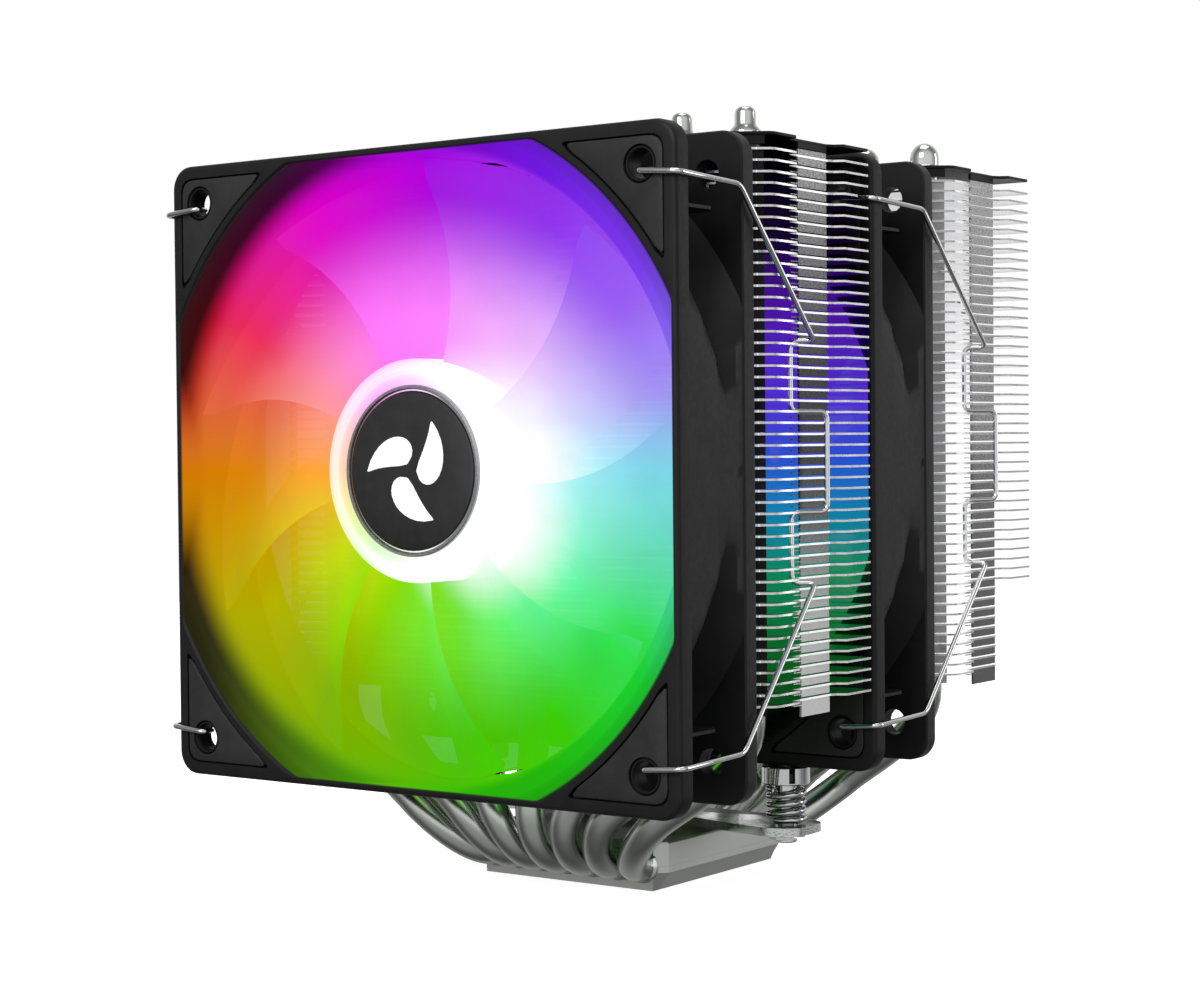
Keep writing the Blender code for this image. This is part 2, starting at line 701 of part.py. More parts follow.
def fan_frame(fan):
    """The square frame in one moulding, with its duct, struts and motor seat."""
    loops = [
        frame_loop(0.0),
        frame_loop(FLANGE),
        frame_loop(FLANGE, BARREL_R, BARREL_HALF),
        frame_loop(FAN_DEPTH - FLANGE, BARREL_R, BARREL_HALF),
        frame_loop(FAN_DEPTH - FLANGE),
        frame_loop(FAN_DEPTH),
    ]
    loops += [frame_loop(depth * MM, radius * MM, MOUTH_HALF) for radius, depth in DUCT_PROFILE]
    bm = bmesh.new()
    band(bm, loops)
    frame = put(f"{fan.name}_frame", as_mesh("frame", bm), "black_plastic", fan)
    combine(frame, struts(fan), "UNION")
    combine(frame, motor_seat(fan), "UNION")
    combine(frame, pad_recesses(fan), "DIFFERENCE")
    combine(frame, hole_cutter(fan, "screw_holes", HOLE_R), "DIFFERENCE")


def corner_pads(fan):
    """Soft pads let into both faces of the frame, one in each corner."""
    cutter = hole_cutter(fan, "pad_holes", PAD_HOLE_R)
    corners = ("top_right", "top_left", "bottom_left", "bottom_right")
    for face, low in (("front", 0.0), ("rear", FAN_DEPTH - PAD_THICK)):
        for quarter, corner in enumerate(corners):
            bm = bmesh.new()
            prism_y(bm, turned_corner(pad_outline(0.0), quarter), low, low + PAD_THICK)
            name = f"{fan.name}_{face}_pad_{corner}"
            combine(put(name, as_mesh(name, bm), "black_rubber", fan), cutter, "DIFFERENCE")


def blade_faces(fan):
    """All the blades, each swept forwards and twisted, thinned to a plate by Solidify."""
    bm = bmesh.new()
    for blade in range(BLADES):
        rows = []
        for station, radius in enumerate(BLADE_RADII):
            part = station / (len(BLADE_RADII) - 1)
            middle = math.tau * blade / BLADES + BLADE_SWEEP * part ** 1.5
            row = []
            for step in range(BLADE_CHORD_STEPS + 1):
                chord = step / BLADE_CHORD_STEPS
                angle = middle + BLADE_SPAN * (0.5 - chord)
                depth = BLADE_FRONT + (BLADE_REAR - BLADE_FRONT) * chord
                row.append(bm.verts.new((radius * math.cos(angle), depth, radius * math.sin(angle))))
            rows.append(row)
        for here, there in zip(rows, rows[1:]):
            for step in range(BLADE_CHORD_STEPS):
                bm.faces.new((here[step], here[step + 1], there[step + 1], there[step]))
    made = helper(fan, "blades", bm)
    shell = made.modifiers.new("thickness", "SOLIDIFY")
    shell.thickness = BLADE_THICK
    shell.offset = 0.0
    return made


def impeller(fan):
    """The hub, a cup open to the rear with a boss for the shaft, and its blades."""
    bm = bmesh.new()
    turned(bm, in_metres(HUB_PROFILE), MOTOR_SIDES)
    wheel = put(f"{fan.name}_impeller", as_mesh("impeller", bm), "clear_plastic", fan)
    combine(wheel, blade_faces(fan), "UNION")


def turned_piece(fan, name, profile, sides, kind):
    """A turned piece on the fan's axis, from a profile in millimetres."""
    bm = bmesh.new()
    turned(bm, in_metres(profile), sides)
    put(f"{fan.name}_{name}", as_mesh(name, bm), kind, fan)


def stator(fan):
    """Four wound poles on a ring around the bearing tube."""
    outer = []
    inner = []
    for quarter in range(4):
        for radius, degrees in STATOR_POLE:
            angle = math.radians(degrees + 90 * quarter)
            outer.append((radius * MM * math.cos(angle), radius * MM * math.sin(angle)))
            inner.append((STATOR_IN_R * math.cos(angle), STATOR_IN_R * math.sin(angle)))
    bm = bmesh.new()
    steps = ((outer, STATOR_FRONT), (outer, STATOR_REAR), (inner, STATOR_REAR), (inner, STATOR_FRONT))
    band(bm, [[(x, depth, z) for x, z in outline] for outline, depth in steps])
    put(f"{fan.name}_stator", as_mesh("stator", bm), "copper_winding", fan)


def fan(name, place):
    centre = empty(f"{name}_fan", place)
    fan_frame(centre)
    corner_pads(centre)
    impeller(centre)
    stator(centre)
    for piece, (profile, sides, kind) in FAN_TURNED.items():
        turned_piece(centre, piece, profile, sides, kind)


# --- Wire clips ---


def clip_corners(sign, stretch):
    """The wire's corners, from the hook in the upper hole to the hook in the lower one.

    The origin is the fan's front face at its fixing holes, halfway between the two.
    """
    half = []
    for out, depth, height, stretched in CLIP_HALF:
        half.append(Vector((sign * out * MM, depth * MM + stretched * stretch, height * MM)))
    return half + [Vector((x, y, -z)) for x, y, z in reversed(half)]


def fan_clip(name, side, sign):
    centre = Vector(FAN_PLACE[name])
    stretch = TOWER_FRONT_Y[FAN_TOWER[name]] - centre.y - CLIP_TOWER_GAP
    path = rounded_path(clip_corners(sign, stretch), CLIP_BEND_R)
    place = centre + Vector((sign * HOLE_HALF_PITCH, 0.0, 0.0))
    tube(f"{name}_fan_clip_{side}", path, WIRE_R, "chrome", 1, place=place)


def build():
    clear_scene()
    base_plates(bar_screws())
    for index in range(-3, 4):
        heat_pipe(index)
    for tower, front_y in TOWER_FRONT_Y.items():
        holes = pipe_holes(tower, front_y + PIPE_ROW_DEPTH)
        fin_stack(tower, front_y, holes)
        top_fin(tower, front_y, holes)
    crossbar()
    for side, sign in (("left", -1), ("right", 1)):
        mounting_screw(side, sign)
        retaining_ring(side, sign)
        screw_spring(side, sign)
    for name, place in FAN_PLACE.items():
        fan(name, place)
        for side, sign in (("left", -1), ("right", 1)):
            fan_clip(name, side, sign)


build()
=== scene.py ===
"""Looks of the dual-tower processor cooler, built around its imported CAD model.

Every object is in metres in the CAD model's frame: +X right, +Y away from the front fan, +Z up.
Lengths below are in millimetres until MM turns them into metres.
"""

import colorsys
import json
import math

import bmesh
import bpy
from mathutils import Matrix, Vector
from mathutils.geometry import interpolate_bezier, tessellate_polygon


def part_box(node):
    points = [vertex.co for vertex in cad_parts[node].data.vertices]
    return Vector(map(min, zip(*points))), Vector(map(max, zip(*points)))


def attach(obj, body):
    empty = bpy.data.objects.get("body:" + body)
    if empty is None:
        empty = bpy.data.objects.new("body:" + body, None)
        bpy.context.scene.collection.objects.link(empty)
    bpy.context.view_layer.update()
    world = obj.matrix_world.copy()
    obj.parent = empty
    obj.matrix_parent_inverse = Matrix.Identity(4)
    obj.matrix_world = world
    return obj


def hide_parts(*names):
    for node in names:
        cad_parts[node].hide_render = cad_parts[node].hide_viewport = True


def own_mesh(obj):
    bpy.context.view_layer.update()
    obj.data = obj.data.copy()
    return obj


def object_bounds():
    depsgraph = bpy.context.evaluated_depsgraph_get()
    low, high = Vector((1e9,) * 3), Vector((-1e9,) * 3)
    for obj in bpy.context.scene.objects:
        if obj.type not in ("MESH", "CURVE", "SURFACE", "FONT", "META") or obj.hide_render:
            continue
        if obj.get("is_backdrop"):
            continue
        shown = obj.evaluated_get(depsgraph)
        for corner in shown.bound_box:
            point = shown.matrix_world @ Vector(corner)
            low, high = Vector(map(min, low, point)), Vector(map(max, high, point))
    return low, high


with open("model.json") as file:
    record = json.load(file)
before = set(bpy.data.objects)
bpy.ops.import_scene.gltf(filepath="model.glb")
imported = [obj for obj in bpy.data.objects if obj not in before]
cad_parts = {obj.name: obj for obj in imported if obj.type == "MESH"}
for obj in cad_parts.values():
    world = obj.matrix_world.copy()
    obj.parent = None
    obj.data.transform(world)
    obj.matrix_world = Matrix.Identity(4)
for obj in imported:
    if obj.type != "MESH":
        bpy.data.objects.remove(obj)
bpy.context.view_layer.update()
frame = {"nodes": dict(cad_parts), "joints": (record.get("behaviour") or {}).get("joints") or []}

MM = 0.001
QUARTERS = range(4)
SIDES = {"left": -1, "right": 1}

# Fans, measured from the front face at the fan's axis
FAN_HALF = 60.0
FAN_DEPTH = 25.0
FAN_CORNER_R = 4.5
FAN_EDGE_R = 0.8
FLANGE = 4.0
FRAME_STEP = 1.5  # degrees between stations round a frame
MOUTH_R = 65.5
MOUTH_HALF = 58.5
MOUTH_LIP = 0.4
DUCT_R = 58.0
DUCT_START = 9.0
DUCT_END = 18.5
DUCT_REAR_R = 59.8
BARREL = ((4.0, 67.4), (8.2, 65.1), (12.4, 62.7), (16.6, 60.3), (18.8, 63.3), (21.0, 66.5))  # depth, radius
BARREL_HALF = 59.7
HOLES = [(x, z) for x in (-52.5, 52.5) for z in (-52.5, 52.5)]
HOLE_R = 2.55
PAD_EDGE = 57.2
PAD_ARC_R = 67.3
PAD_THICK = 1.0
PAD_GAP = 0.3
PAD_HOLE_R = 3.4
HUB_R = 20.75
HUB_FRONT = 1.2
HUB_REAR = 18.6
BLADES = 9
BLADE_ROOT_R = 20.0
BLADE_TIP_R = 57.5
BLADE_FRONT = 4.2
BLADE_REAR = 17.4
BLADE_SPAN = 57.0
BLADE_SWEEP = 22.0

# Towers, measured from a tower's front edge
FINS = 50
FIN_THICK = 0.4
FIN_HALF = 60.0
NOSE_HALF = 51.0
NOSE_DEPTH = 6.5
TAB_HALF = 57.5
TAB_PROUD = 57.4
TAB_START = 18.9
TAB_END = 29.4
TOWER_DEPTH = 40.7
PIPE_ROW = 12.7
PIPE_R = 3.0
PIPE_X = (0.0, 18.0, 36.0, 50.0)
PIPE_SPLAY_X = (0.0, 9.3, 18.5, 30.0)
PIPE_PITCH = 6.1  # in the base
PIPE_BED = 4.8  # height of the pipes' middle in the base
CUTAWAY_TOP = 58.0
CLIP_HOOK = 51.0  # mean height of a clip's upper hook above the fan's middle

# Slots in the mounting screws' heads: half width, height of their floor, and angle
SLOT_HALF = 0.62
SLOT_FOOT = 20.45
SLOT_TURN = -44.0
HEAD_TOP = 23.55
SPRING_R = 3.5
SPRING_WIRE = 0.62  # half its thickness
SPRING_TURNS = 4.0
SPRING_FLAT = 0.25  # of a turn lies flat at either end
SPRING_START = -99.0

# The photograph's camera: azimuth, elevation and roll in degrees, place in metres, and focal length
CAMERA_TURN = (-35.656, -1.367, -0.514)
CAMERA_PLACE = (0.28604, -0.40844, 0.08809)
CAMERA_LENS = 71.97

# Lights in the hub: angle from +X towards +Z, then hue, saturation and value near the tips and near the hub
RAINBOW = (
    (0, (190, 0.46, 0.91), (185, 0.30, 1.00)),
    (16, (250, 0.40, 0.95), (232, 0.16, 1.00)),
    (34, (264, 0.62, 0.95), (278, 0.20, 1.00)),
    (60, (270, 0.79, 0.92), (291, 0.32, 1.00)),
    (90, (284, 0.98, 0.87), (299, 0.49, 1.00)),
    (120, (306, 1.00, 0.87), (303, 0.54, 1.00)),
    (150, (345, 0.82, 0.92), (352, 0.42, 1.00)),
    (180, (35, 1.00, 0.86), (34, 0.80, 1.00)),
    (210, (59, 1.00, 0.70), (65, 0.95, 0.86)),
    (240, (77, 1.00, 0.70), (83, 0.98, 0.87)),
    (270, (95, 1.00, 0.75), (98, 0.79, 0.90)),
    (300, (103, 1.00, 0.80), (126, 0.58, 0.98)),
    (325, (130, 0.78, 0.87), (150, 0.56, 1.00)),
    (360, (190, 0.46, 0.91), (185, 0.30, 1.00)),
)
TIPS, ROOTS = 1, 2

# The same lights as they reach the front tower and the middle fan: height above the fans' middle, then colour
DEEP_GLOW = (
    (-52, (130, 0.80, 0.13)),
    (-34, (137, 0.90, 0.40)),
    (-20, (158, 0.92, 0.54)),
    (-9, (198, 0.90, 0.71)),
    (1, (226, 0.81, 0.86)),
    (12, (252, 0.78, 0.86)),
    (28, (264, 0.88, 0.66)),
    (40, (262, 0.90, 0.20)),
    (54, (260, 0.60, 0.02)),
)


# --- Places read from the frame ---


def fan_place(fan):
    low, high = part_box(f"{fan}_fan_frame")
    return Vector(((low.x + high.x) / 2, low.y, (low.z + high.z) / 2))


def heights(node):
    return [corner.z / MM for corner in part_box(node)]


def joint(name):
    return next(one for one in frame["joints"] if one["name"] == name)


FAN_PLACE = {fan: fan_place(fan) for fan in ("front", "middle")}
TOWER_FRONT = {tower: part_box(f"fin_stack_{tower}")[0].y / MM for tower in ("front", "rear")}


# --- Shapes ---


class Shape:
    """Points in millimetres and faces, gathered before they become a mesh."""

    def __init__(self):
        self.points = []
        self.faces = []

    def ring(self, points):
        first = len(self.points)
        self.points += [tuple(point) for point in points]
        return list(range(first, len(self.points)))

    def bridge(self, one, two):
        for here in range(len(one)):
            there = (here + 1) % len(one)
            self.faces.append((one[here], one[there], two[there], two[here]))

    def loft(self, rings, endless=False):
        """A closed skin over equal rings. An endless one joins its last ring to its first."""
        made = [self.ring(points) for points in rings]
        for one, two in zip(made, made[1:]):
            self.bridge(one, two)
        if endless:
            self.bridge(made[-1], made[0])
        else:
            self.faces += [tuple(made[0]), tuple(made[-1])]

    def plate(self, outline, holes, low, high):
        """A flat plate with holes, between two heights."""
        loops = [outline, *holes]
        flat = [[Vector((x, y, 0.0)) for x, y in loop] for loop in loops]
        lower, upper = ([self.ring([(x, y, z) for x, y in loop]) for loop in loops] for z in (low, high))
        below, above = (sum(rings, []) for rings in (lower, upper))
        for corners in tessellate_polygon(flat):
            self.faces += [tuple(side[corner] for corner in corners) for side in (below, above)]
        for one, two in zip(lower, upper):
            self.bridge(one, two)

    def turned(self, profile, sides, along="Y", centre=(0.0, 0.0)):
        """Turns a closed (radius, height) outline about an axis along Y or Z."""
        rings = []
        for radius, height in profile:
            outline = circle(max(radius, 0.004), sides, centre)
            rings.append([(x, height, z) if along == "Y" else (x, z, height) for x, z in outline])
        self.loft(rings, endless=True)

    def upright(self, rings):
        """A loft over outlines in the XZ plane, each with its depth."""
        self.loft([[(x, depth, z) for x, z in outline] for outline, depth in rings])

    def tube(self, path, radii, sides):
        """A round tube along a path, with a face at each end."""
        ahead = (path[1] - path[0]).normalized()
        across = ahead.orthogonal().normalized()
        rings = []
        for index, point in enumerate(path):
            step = path[min(index + 1, len(path) - 1)] - path[max(index - 1, 0)]
            turn = ahead.rotation_difference(step.normalized())
            ahead = turn @ ahead
            across = turn @ across
            side = ahead.cross(across)
            rings.append([point + across * u + side * v for u, v in circle(radii[index], sides)])
        self.loft(rings)

    def add(self, other, matrix=Matrix.Identity(4)):
        first = len(self.points)
        self.points += [tuple(matrix @ Vector(point)) for point in other.points]
        self.faces += [tuple(first + index for index in face) for face in other.faces]

    def mesh(self, name, place=(0.0, 0.0, 0.0), sharp=32):
        """The shape as a mesh in metres, moved to its place in metres."""
        mesh = bpy.data.meshes.new(name)
        mesh.from_pydata([Vector(point) * MM + Vector(place) for point in self.points], [], self.faces)
        bm = bmesh.new()
        bm.from_mesh(mesh)
        bmesh.ops.recalc_face_normals(bm, faces=bm.faces)
        bm.to_mesh(mesh)
        bm.free()
        mesh.shade_smooth()
        mesh.set_sharp_from_angle(angle=math.radians(sharp))
        return mesh


def polar(radius, angle):
    return radius * math.cos(angle), radius * math.sin(angle)


def circle(radius, sides, centre=(0.0, 0.0)):
    spots = [polar(radius, math.tau * side / sides) for side in range(sides)]
    return [(centre[0] + x, centre[1] + y) for x, y in spots]


def corner_curve(before, here, after, radius, share, steps):
    """Round a corner, starting and ending radius away from it, but within a share of either side."""
    back, ahead = before - here, after - here
    reach = min(radius, back.length * share, ahead.length * share)
    start = here + back.normalized() * reach
    end = here + ahead.normalized() * reach
    parts = [step / steps for step in range(steps + 1)]
    return [start.lerp(here, part).lerp(here.lerp(end, part), part) for part in parts]


def rounded(corners, radius, steps=5):
    """A closed outline with its corners rounded."""
    points = [Vector(corner) for corner in corners]
    outline = []
    for index, here in enumerate(points):
        after = points[(index + 1) % len(points)]
        outline += corner_curve(points[index - 1], here, after, radius, 0.48, steps)
    return [tuple(point) for point in outline]


def rounded_path(corners, radius, steps=7):
    """An open path with its corners rounded."""
    path = [corners[0]]
    for before, here, after in zip(corners, corners[1:], corners[2:]):
        path += corner_curve(before, here, after, radius, 0.45, steps)
    return path + [corners[-1]]


def inset(outline, distance):
    """A closed outline moved inwards along its corners' own normals."""
    count = len(outline)
    area = sum(outline[i - 1][0] * outline[i][1] - outline[i][0] * outline[i - 1][1] for i in range(count))
    sign = 1.0 if area > 0 else -1.0
    moved = []
    for index in range(count):
        before, here, after = (Vector(outline[(index + step) % count]) for step in (-1, 0, 1))
        along = ((here - before).normalized() + (after - here).normalized()).normalized()
        moved.append((here.x - sign * along.y * distance, here.y + sign * along.x * distance))
    return moved


def mirrored(half):
    """An outline symmetric about x = 0, from its half at +X."""
    return half + [(-x, y) for x, y in reversed(half)]


def quarter_turn(quarter):
    return Matrix.Rotation(-quarter * math.pi / 2, 4, "Y")


def linked(name, data):
    obj = bpy.data.objects.new(name, data)
    bpy.context.scene.collection.objects.link(obj)
    return obj


def piece(name, mesh, material, body, slot, *replaced):
    mesh.materials.append(material)
    obj = linked(name, mesh)
    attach(obj, body)
    if replaced:
        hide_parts(*replaced)
    return obj


def bevelled(obj, width, segments):
    made = obj.modifiers.new("edges", "BEVEL")
    made.width = width * MM
    made.segments = segments
    made.limit_method = "ANGLE"
    made.angle_limit = math.radians(30)
    made.harden_normals = True


def cut(mesh, *cutters):
    """The mesh with each cutter taken away in turn."""
    obj = linked("blank", mesh)
    helpers = [linked("cutter", cutter) for cutter in cutters]
    for helper in helpers:
        made = obj.modifiers.new("cut", "BOOLEAN")
        made.operation = "DIFFERENCE"
        made.solver = "EXACT"
        made.object = helper
    graph = bpy.context.evaluated_depsgraph_get()
    result = bpy.data.meshes.new_from_object(obj.evaluated_get(graph))
    for helper in [obj, *helpers]:
        bpy.data.objects.remove(helper)
    result.set_sharp_from_angle(angle=math.radians(32))
    result.materials.clear()
    return result


def together(*meshes):
    """One mesh of several, which stay separate shells."""
    bm = bmesh.new()
    for mesh in meshes:
        bm.from_mesh(mesh)
    bm.to_mesh(meshes[0])
    bm.free()
    meshes[0].set_sharp_from_angle(angle=math.radians(32))
    return meshes[0]


# --- Nodes ---


def colour(value):
    """Red, green and blue, all alike where the value is one number."""
    return (value, value, value) if isinstance(value, (int, float)) else tuple(value)


class Value:
    """A node's output, and arithmetic that makes further nodes."""

    def __init__(self, nodes, socket):
        self.nodes = nodes
        self.socket = socket

    def __add__(self, other):
        return self.nodes.maths("ADD", self, other)

    def __sub__(self, other):
        return self.nodes.maths("SUBTRACT", self, other)

    def __rsub__(self, other):
        return self.nodes.maths("SUBTRACT", other, self)

    def __mul__(self, other):
        return self.nodes.maths("MULTIPLY", self, other)

    def __truediv__(self, other):
        return self.nodes.maths("DIVIDE", self, other)

    def __abs__(self):
        return self.nodes.maths("ABSOLUTE", self)

    def between(self, low, high, start=0.0, end=1.0, smooth=True):
        """Maps low..high to start..end and holds the ends."""
        way = "SMOOTHSTEP" if smooth else "LINEAR"
        return self.nodes.node("MapRange", self, low, high, start, end, interpolation_type=way)


class Nodes:
    """Shortcuts for the nodes of a tree."""

    def __init__(self, tree):
        self.tree = tree

    def make(self, kind, **settings):
        made = self.tree.nodes.new("ShaderNode" + kind)
        for key, value in settings.items():
            setattr(made, key, value)
        return made

    def feed(self, target, value):
        if isinstance(value, Value):
            self.tree.links.new(value.socket, target)
        else:
            target.default_value = (*colour(value), 1.0) if target.type == "RGBA" else value

    def node(self, kind, *values, out=0, **settings):
        """The output of a new node whose first inputs are fed in turn."""
        made = self.make(kind, **settings)
        for socket, value in zip(made.inputs, values):
            self.feed(socket, value)
        return Value(self, made.outputs[out])

    def maths(self, operation, one, two=0.0):
        return self.node("Math", one, two, operation=operation)

    def distance(self, x, z):
        return self.maths("SQRT", x * x + z * z)

    def split(self, vector):
        made = self.make("SeparateXYZ")
        self.feed(made.inputs[0], vector)
        return [Value(self, socket) for socket in made.outputs]

    def mix(self, share, one, two, blend="MIX"):
        made = self.make("Mix", data_type="RGBA", blend_type=blend)
        for index, value in ((0, share), (6, one), (7, two)):
            self.feed(made.inputs[index], value)
        return Value(self, made.outputs[2])

    def ramp(self, share, stops):
        """A colour from stops of position and colour."""
        made = self.make("ValToRGB")
        self.feed(made.inputs[0], share)
        elements = made.color_ramp.elements
        elements.remove(elements[1])
        elements[0].position = stops[0][0]
        elements[0].color = (*colour(stops[0][1]), 1.0)
        for position, shade in stops[1:]:
            elements.new(position).color = (*colour(shade), 1.0)
        return Value(self, made.outputs[0])


class Finish(Nodes):
    """A Principled material."""

    def __init__(self, name, base, roughness, metallic=0.0):
        self.material = bpy.data.materials.new(name)
        self.material.use_nodes = True
        super().__init__(self.material.node_tree)
        self.set("Base Color", base)
        self.set("Roughness", roughness)
        self.set("Metallic", metallic)

    def set(self, socket, value):
        self.feed(self.tree.nodes["Principled BSDF"].inputs[socket], value)

    def normal(self):
        return self.split(self.node("NewGeometry", out="Normal"))

    def place(self, centre=(0.0, 0.0, 0.0)):
        """x, y and z in millimetres, measured from a centre in metres."""
        place = self.node("NewGeometry", out="Position")
        moved = self.node("VectorMath", place, centre, operation="SUBTRACT")
        return self.split(self.node("VectorMath", moved, (1 / MM,) * 3, operation="MULTIPLY"))

    def noise(self, size, detail=3.0, stretch=(1, 1, 1)):
        """Noise over the piece, about 0.5 on average. size is its grain in millimetres."""
        scale = [1 / (size * MM * way) for way in stretch]
        flat = (0.0, 0.0, 0.0)
        place = self.node("Mapping", self.node("TexCoord", out="Object"), flat, flat, scale)
        return self.node("TexNoise", place, 0.0, 1.0, detail, 0.55)

    def bump(self, height, depth, strength):
        """Height from 0 to 1 over a depth in millimetres."""
        made = self.make("Bump")
        for socket, value in (("Height", height), ("Distance", depth * MM), ("Strength", strength)):
            self.feed(made.inputs[socket], value)
        self.set("Normal", Value(self, made.outputs[0]))

    def vary(self, socket, share, low, high):
        """Varies the base colour or the roughness with a noise."""
        if socket == "Base Color":
            self.set(socket, self.mix(share.between(0.3, 0.7), low, high))
        else:
            self.set(socket, share.between(0.3, 0.7, low, high))

    def glow(self, shade, strength):
        self.set("Emission Color", shade)
        self.set("Emission Strength", strength)


# --- Materials ---


def linear(hue, saturation, value):
    """A linear colour from its hue in degrees, saturation and value on screen."""
    screen = colorsys.hsv_to_rgb(hue / 360.0, saturation, value)
    return tuple(((part + 0.055) / 1.055) ** 2.4 if part > 0.04045 else part / 12.92 for part in screen)


def around(finish, fan):
    """x and z from a fan's axis, the share of a turn round it, the distance from it, and the depth."""
    x, depth, z = finish.place(FAN_PLACE[fan])
    share = finish.maths("FRACT", finish.maths("ARCTAN2", z, x) / math.tau + 1.0)
    return x, z, share, finish.distance(x, z), depth


def light_ring(finish, share, column, dim=1.0):
    """The lights' colours round the hub, at the blades' tips or roots."""
    stops = []
    for row in RAINBOW:
        hue, saturation, value = row[column]
        stops.append((row[0] / 360.0, linear(hue, saturation, value * dim)))
    return finish.ramp(share, stops)


def rainbow(finish, x, z, share, radius):
    """The colour that the hub's lights give at a place, whitened round a spot beside the hub."""
    roots, tips = (light_ring(finish, share, column) for column in (ROOTS, TIPS))
    ring = finish.mix(radius.between(27, 52), roots, tips)
    return finish.mix(finish.distance(x - 10.0, z + 2.0).between(12, 27, 1.0, 0.0), ring, 1.0)


def deep_glow(finish, z):
    """The lights' colour by height above the fans' middle."""
    low, high = DEEP_GLOW[0][0], DEEP_GLOW[-1][0]
    stops = [((height - low) / (high - low), linear(*shade)) for height, shade in DEEP_GLOW]
    return finish.ramp(z.between(low, high, smooth=False), stops)


def blade_plastic(fan, strength):
    """Frosted clear plastic lit from the hub."""
    finish = Finish(f"{fan}_blade_plastic", 0.004, 0.6)
    x, z, share, radius, _ = around(finish, fan)
    if fan == "front":
        lit = rainbow(finish, x, z, share, radius)
    else:
        lit = finish.mix(x.between(-12, 8), light_ring(finish, share, TIPS, 0.7), deep_glow(finish, z))
    cloud = finish.noise(9.0, 4.0)
    finish.glow(finish.mix(cloud.between(0.25, 0.75, 0.0, 0.08), lit, 0.0), strength)
    finish.vary("Base Color", cloud, 0.002, 0.006)
    finish.vary("Roughness", finish.noise(1.2), 0.55, 0.65)
    finish.set("Specular IOR Level", 0.02)
    finish.set("Alpha", 0.86)
    return finish.material


def hub_plastic(fan, strength):
    """The hub's wall, brightest where it stands nearest the lights."""
    finish = Finish(f"{fan}_hub_plastic", 0.10, 0.35)
    x, z, share, radius, depth = around(finish, fan)
    roots = light_ring(finish, share, ROOTS) if fan == "front" else deep_glow(finish, z)
    band = abs(radius - 18.8).between(0.0, 2.4, 0.72, 0.35)
    side = depth.between(1.4, 4.0, 0.0, 0.7)
    # lean paints the hub whiter towards +X, a painted glow
    lean = (x - z * 0.3).between(-14, 14, -0.12, 0.6)
    white = (finish.maths("MAXIMUM", band, side) + lean).between(0.0, 1.0, smooth=False)
    if fan == "middle":
        white = white * 0.3
    finish.glow(finish.mix(white, roots, 1.0), strength)
    finish.vary("Roughness", finish.noise(1.5), 0.30, 0.42)
    return finish.material


def frame_plastic(fan, strength):
    """Black moulded plastic, which catches the lights' colours round its mouth and in its duct: a painted
    glow, partly painted reflection, stronger on the +X side. Inside the mouth and duct its colour is painted
    darker, a painted shade.
    """
    finish = Finish(f"{fan}_frame_plastic", 0.010, 0.5)
    x, z, share, radius, depth = around(finish, fan)
    tips = light_ring(finish, share, TIPS) if fan == "front" else deep_glow(finish, z)
    out_x, _, out_z = finish.normal()
    inner = ((out_x * x + out_z * z) / radius).between(0.0, 0.05, 1.0, 0.0)
    hollow = radius.between(65.0, 65.6, 1.0, 0.0) * (inner * depth.between(0.15, 0.5))
    # side makes the painted glow stronger towards +X, a painted reflection of the lights
    side = (x - z * 0.25).between(-48, 20)
    fall = radius.between(58.1, 61.8, 1.0, 0.06)
    lit = finish.maths("MAXIMUM", fall + side * (1.0 - fall), depth.between(2.0, 8.0, 0.0, 0.95))
    power = hollow * (depth.between(18.0, 24.0, 1.0, 0.0) * lit)
    full = finish.node("Gamma", tips, radius.between(58.1, 60.5, 1.0, 1.4))
    finish.glow(finish.mix(power, 0.0, full), strength)
    tone = finish.mix(finish.noise(6.0).between(0.3, 0.7), 0.007, 0.009)
    # Painted shade: the base colour is darker inside the mouth and duct
    finish.set("Base Color", finish.mix(hollow, tone, 0.002))
    finish.set("Specular IOR Level", hollow.between(0.0, 1.0, 0.18, 0.03))
    finish.vary("Roughness", finish.noise(1.0), 0.46, 0.52)
    finish.bump(finish.noise(0.22, 2.0), 0.006, 0.4)
    finish.material.cycles.emission_sampling = "NONE"
    return finish.material


def front_fin_glow(finish, rim, x, y):
    """The lights between the front tower's fins and on their front edges, and a painted highlight on the
    fins' rims beside its tabs.
    """
    ahead = y - TOWER_FRONT["front"]
    height = around(finish, "middle")[1]
    hidden = (1.0 - rim) * abs(x).between(20, 50, 0.35, 0.6) * ahead.between(4, 13, 0.3, 1.0)
    within = finish.mix(hidden, 0.0, deep_glow(finish, height))
    across, up, share, radius, _ = around(finish, "front")
    reach = radius.between(57, 61, 0.8, 0.0) * ahead.between(0.5, 4, 1.0, 0.0)
    lit = finish.mix(reach, within, rainbow(finish, across, up, share, radius))
    # column marks the rims beside the tabs, where a painted highlight is mixed in
    column = abs(abs(x) - TAB_HALF).between(0.06, 0.10, 1.0, 0.0)
    return finish.mix(rim * column * 0.45, lit, 1.0)


